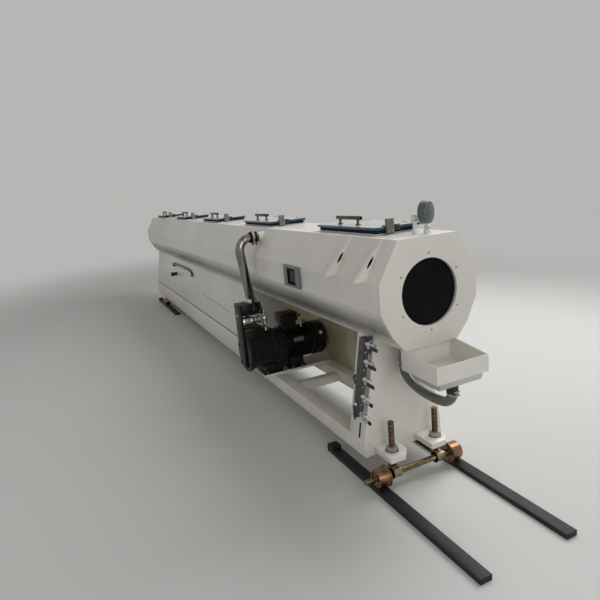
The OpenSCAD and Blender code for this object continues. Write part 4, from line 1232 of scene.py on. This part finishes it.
def make_pump_fittings():
    """The run of unions between the port housing and the header, with its cock and down pipe."""
    pipes = Piece("seal_water_pipes", nickel_plate)
    low = span("pump_fittings")[0]
    start = Vector((NEAR_X + PUMP_X + 20, low.y, (HOUSING_TOP + HEADER_LOW) / 2))
    down = start + ACROSS * 168
    cock = down + UP * 22
    for foot, axis, profile, sides in (
            (start, ACROSS, [(24, 0), (33, 1), (34.2, 3), (34.2, 17), (31, 20), (31, 30), (33, 32),
                             (33, 36)], 40),
            (start, ACROSS, [(30, 58), (31, 60), (31, 68), (24, 75), (19, 77), (19, 180), (17, 190),
                             (0, 191)], 40),
            (down - UP * 24, UP, [(0, 0), (14, 3), (22, 12), (24, 24), (22, 36), (14, 45), (0, 48)], 36),
            (cock + UP * 10, UP, [(6, 0), (13, 6), (15.5, 14), (13, 22), (0, 28)], 32)):
        pipes.turned(foot, axis, profile, sides)
    nut(pipes, start + ACROSS * 34, ACROSS, 34.2, 26)
    nut(pipes, start + ACROSS * 118, ACROSS, 27.4, 22)
    nut(pipes, down - UP * 62, UP, 22.5, 18)
    pipes.ring(start + ACROSS * 98, ACROSS, 19.5, 3.5, 36, 8)
    pipes.rod(Vector((down.x, down.y, low.z)), down, 16.8)
    pipes.rod(cock - UP * 4, cock + UP * 14, 7, 24)
    pipes.done("carriage", "chrome", "pump_fittings")


def make_suction():
    """Suction pipe: it leans up from the pump's header and bends over to its stub on the tank."""
    lean = math.radians(6.4)
    radius, bend = 30, 85
    foot_top = span("suction_pipe")[0].z + 30
    elbow_y, elbow_z = -368, LINE_Z + 108
    rise = elbow_z - foot_top
    foot_y = elbow_y + rise * math.tan(lean)
    centre_y = elbow_y + bend * math.cos(lean)
    centre_z = elbow_z + bend * math.sin(lean)
    top_z = centre_z + bend
    path = [at(PUMP_X, foot_y + 6 * math.sin(lean), foot_top - 6)]
    path += [at(PUMP_X, foot_y + (elbow_y - foot_y) * k / 6, foot_top + rise * k / 6) for k in range(1, 6)]
    for k in range(23):
        turn = math.pi + lean - (math.pi / 2 + lean) * k / 22
        path.append(at(PUMP_X, centre_y + bend * math.cos(turn), centre_z + bend * math.sin(turn)))
    path.append(at(PUMP_X, centre_y + 16, top_z))
    pipe = Piece("suction_tube", pipe_steel).tube(path, radius, 48)
    away = (path[1] - path[0]).normalized()
    for spot, way in ((path[5].lerp(path[6], 0.9), away), (at(PUMP_X, centre_y, top_z), ACROSS)):
        pipe.ring(spot, way, radius - 0.3, 1.3, 48, 8, worn_steel)
    socket = at(PUMP_X, foot_y, foot_top - 30)
    pipe.turned(socket, UP, [(43.5, 0), (44, 1), (44, 12), (41, 14), (41, 22), (34, 28), (30.5, 29.5)],
                56, nickel_plate)
    bolts(pipe, circle_of(socket + UP * 12, UP, ALONG * 38, 4, 45), UP, 4, 4)
    joint = at(PUMP_X, centre_y + 6, top_z)
    pipe.turned(joint, ACROSS, [(30.2, 0), (39, 0), (43, 4), (43, 16), (39, 20), (30.2, 20)], 56, worn_steel)
    pipe.turned(joint, ACROSS, [
        (30.2, -12), (36.5, -11), (36.5, -1), (38, 20), (36.5, 21), (36.5, 44), (34, 48), (30.2, 48)],
                48, seal_rubber)
    pipe.ring(joint + ACROSS * 38, ACROSS, 36.8, 3.2, 48, 8, worn_steel)
    ear = joint + Vector((30, 10, -30))
    wing = Vector((1, 0, -1)).normalized()
    pipe.turned(ear - wing * 6, wing, [(7, 0), (7, 16), (4, 22), (0, 22)], 16, worn_steel)
    for y in (-18, 9):
        pipe.block(ear, (-4, y, -22), (10, y + 9, 4), 3, black_plastic)
    wall_y = 4 - HALF_TOP - (HALF_SIDE - HALF_TOP) * (TANK_TOP - top_z) / SLOPE_DROP
    reach = abs(wall_y - centre_y - 22)
    pipe.turned(at(PUMP_X, wall_y, top_z), -ACROSS, [(33, -12), (33, 10), (30.5, 14), (30.5, reach)],
                48, white_enamel)
    pipe.done("carriage", "stainless", "suction_pipe")


# Manifold with its ball valves and levers
VALVE_PITCH = 88
VALVE_DROP = 16
VALVE_X = -255
STEM = 56


def valve_place(number):
    return on_taper(VALVE_X, TANK_FOOT - VALVE_DROP - (number - 1) * VALVE_PITCH, 42)


def make_manifold():
    valves = Piece("ball_valves", nickel_plate)
    for number in range(1, 6):
        start = valve_place(number)
        valves.turned(start, ALONG, [
            (10, 0), (10, 18), (11.8, 20), (11.8, 38), (13.6, 44), (14, 52), (14, 60), (13, 64),
            (11, 66)], 32)
        for along, height in ((2, 10), (22, 14), (62.5, 8.5)):
            nut(valves, start + ALONG * along, ALONG, 13.8, height)
        stem = start + ALONG * STEM
        valves.rod(stem - ACROSS * 12, stem - ACROSS * 28.5, 3.95, 20)
        valves.turned(stem, -ACROSS, [(9, 10), (9, 17), (7, 19)], 28)
    for number in range(1, 5):
        spot = valve_place(number).lerp(valve_place(number + 1), 0.5)
        bolts(valves, [spot - ALONG * 0.5], ALONG, 4.5, 3)
        bolts(valves, [spot + Vector((-21, -18.5, 0))], -ACROSS, 4, 2.6, black_plastic, 16)
    valves.block(valve_place(1), (-2, 6, 14), (13, 30, 34), 2, bar_grey)
    inlet = Vector((NEAR_X + VALVE_X - 41, valve_place(3).y, 545))
    valves.rod(inlet, inlet - ALONG * 18, 12.5, 24)
    valves.rod(inlet - ALONG * 17, inlet - ALONG * 40, 14.5, 24, black_plastic, 3)
    valves.rod(inlet + Vector((-28, 0, 4)), inlet + Vector((-28, 0, -34)), 12.5, 24, black_plastic, 3)
    hub = Vector((NEAR_X + VALVE_X - 8, valve_place(5).y - 17.5, 436))
    valves.turned(hub, -ACROSS, [(11, 0), (12, 1), (12, 9), (10, 11), (0, 11)], 6)
    valves.block(hub, (-6.5, -16.5, -78), (6.5, -7.5, -4), 3, blue_grip)
    valves.done("carriage", "chrome", "valve_bodies")


def make_lever(number):
    """A flat lever with a dipped grip, or a bare one with a black tip; the stem's nut rides with it."""
    dipped = number < 4
    start = valve_place(number) + Vector((STEM, -19.5, 0))
    lever = Piece(f"valve_handle_{number}", nickel_plate)
    lever.turned(start, -ACROSS, [
        (4.05, 0), (8.5, 0), (9, 0.6), (9, 7.4), (8.5, 8), (4.05, 8), (4.05, 0)], 28)
    lever.block(start, (6, -6.6, -6), (30, -2.6, 6), 0.8)
    lever.block(start, (12 if dipped else 20, -9, -9), (74, 0, 9), 3.5, blue_grip if dipped else None)
    if not dipped:
        lever.block(start, (54, -9, -9), (74, 0, 9), 3.5, black_plastic)
    lever.done(f"valve_lever_{number}", "blue_grip" if dipped else "nickel_lever", f"valve_lever_{number}")


# Floor, lights and backdrop: each light's name, place, width in metres and watts
LIGHTS = (("overhead_light", at(-1400, 3000, 4200), 4.5, 190.0),
          ("front_light", at(4300, -900, 2500), 3.0, 54.0),
          ("side_light", at(-2400, -5200, 2400), 4.0, 12.0))
LIT_STRENGTH = 0.38
SEEN_STRENGTH = 0.56


def make_stage():
    """Pale floor and soft light; neither is part of the machine."""
    mesh = bpy.data.meshes.new("studio_floor")
    reach = 24.0
    corners = [(-reach, -reach, 0), (reach, -reach, 0), (reach, reach, 0), (-reach, reach, 0)]
    mesh.from_pydata(corners, [], [(0, 1, 2, 3)])
    mesh.materials.append(floor_finish())
    floor = bpy.data.objects.new("studio_floor", mesh)
    bpy.context.scene.collection.objects.link(floor)
    for name, place, size, power in LIGHTS:
        data = bpy.data.lights.new(name, "AREA")
        data.shape = "DISK"
        data.size = size
        data.energy = power
        lamp = bpy.data.objects.new(name, data)
        lamp.location = place * MM
        lamp.rotation_euler = (at(-1600, 0, 800) - place).to_track_quat("-Z", "Y").to_euler()
        bpy.context.scene.collection.objects.link(lamp)
    world = bpy.data.worlds.new("studio_world")
    bpy.context.scene.world = world
    world.use_nodes = True
    nodes = world.node_tree.nodes
    links = world.node_tree.links
    background = nodes["Background"]
    background.inputs["Color"].default_value = (0.84, 0.83, 0.81, 1)
    ray = nodes.new("ShaderNodeLightPath")
    shown = ray.outputs["Is Camera Ray"]
    for name in ("Is Glossy Ray", "Is Transmission Ray"):
        either = nodes.new("ShaderNodeMath")
        either.operation = "MAXIMUM"
        links.new(shown, either.inputs[0])
        links.new(ray.outputs[name], either.inputs[1])
        shown = either.outputs[0]
    strength = nodes.new("ShaderNodeMapRange")
    strength.inputs["To Min"].default_value = LIT_STRENGTH
    strength.inputs["To Max"].default_value = SEEN_STRENGTH
    links.new(shown, strength.inputs["Value"])
    links.new(strength.outputs[0], background.inputs["Strength"])
    bpy.context.scene.view_settings.view_transform = "Standard"


make_hose()
make_hose_ends()
make_sheets()
make_lifting_plates()
for lid_number in range(1, 6):
    make_lid(lid_number)
make_window()
make_gauge()
make_relief()
make_tray_welds()
make_box_details()
make_running_gear()
make_motor()
make_terminal_box()
make_pump_head()
make_pump_fittings()
make_suction()
make_manifold()
for lever_number in range(1, 6):
    make_lever(lever_number)
make_stage()
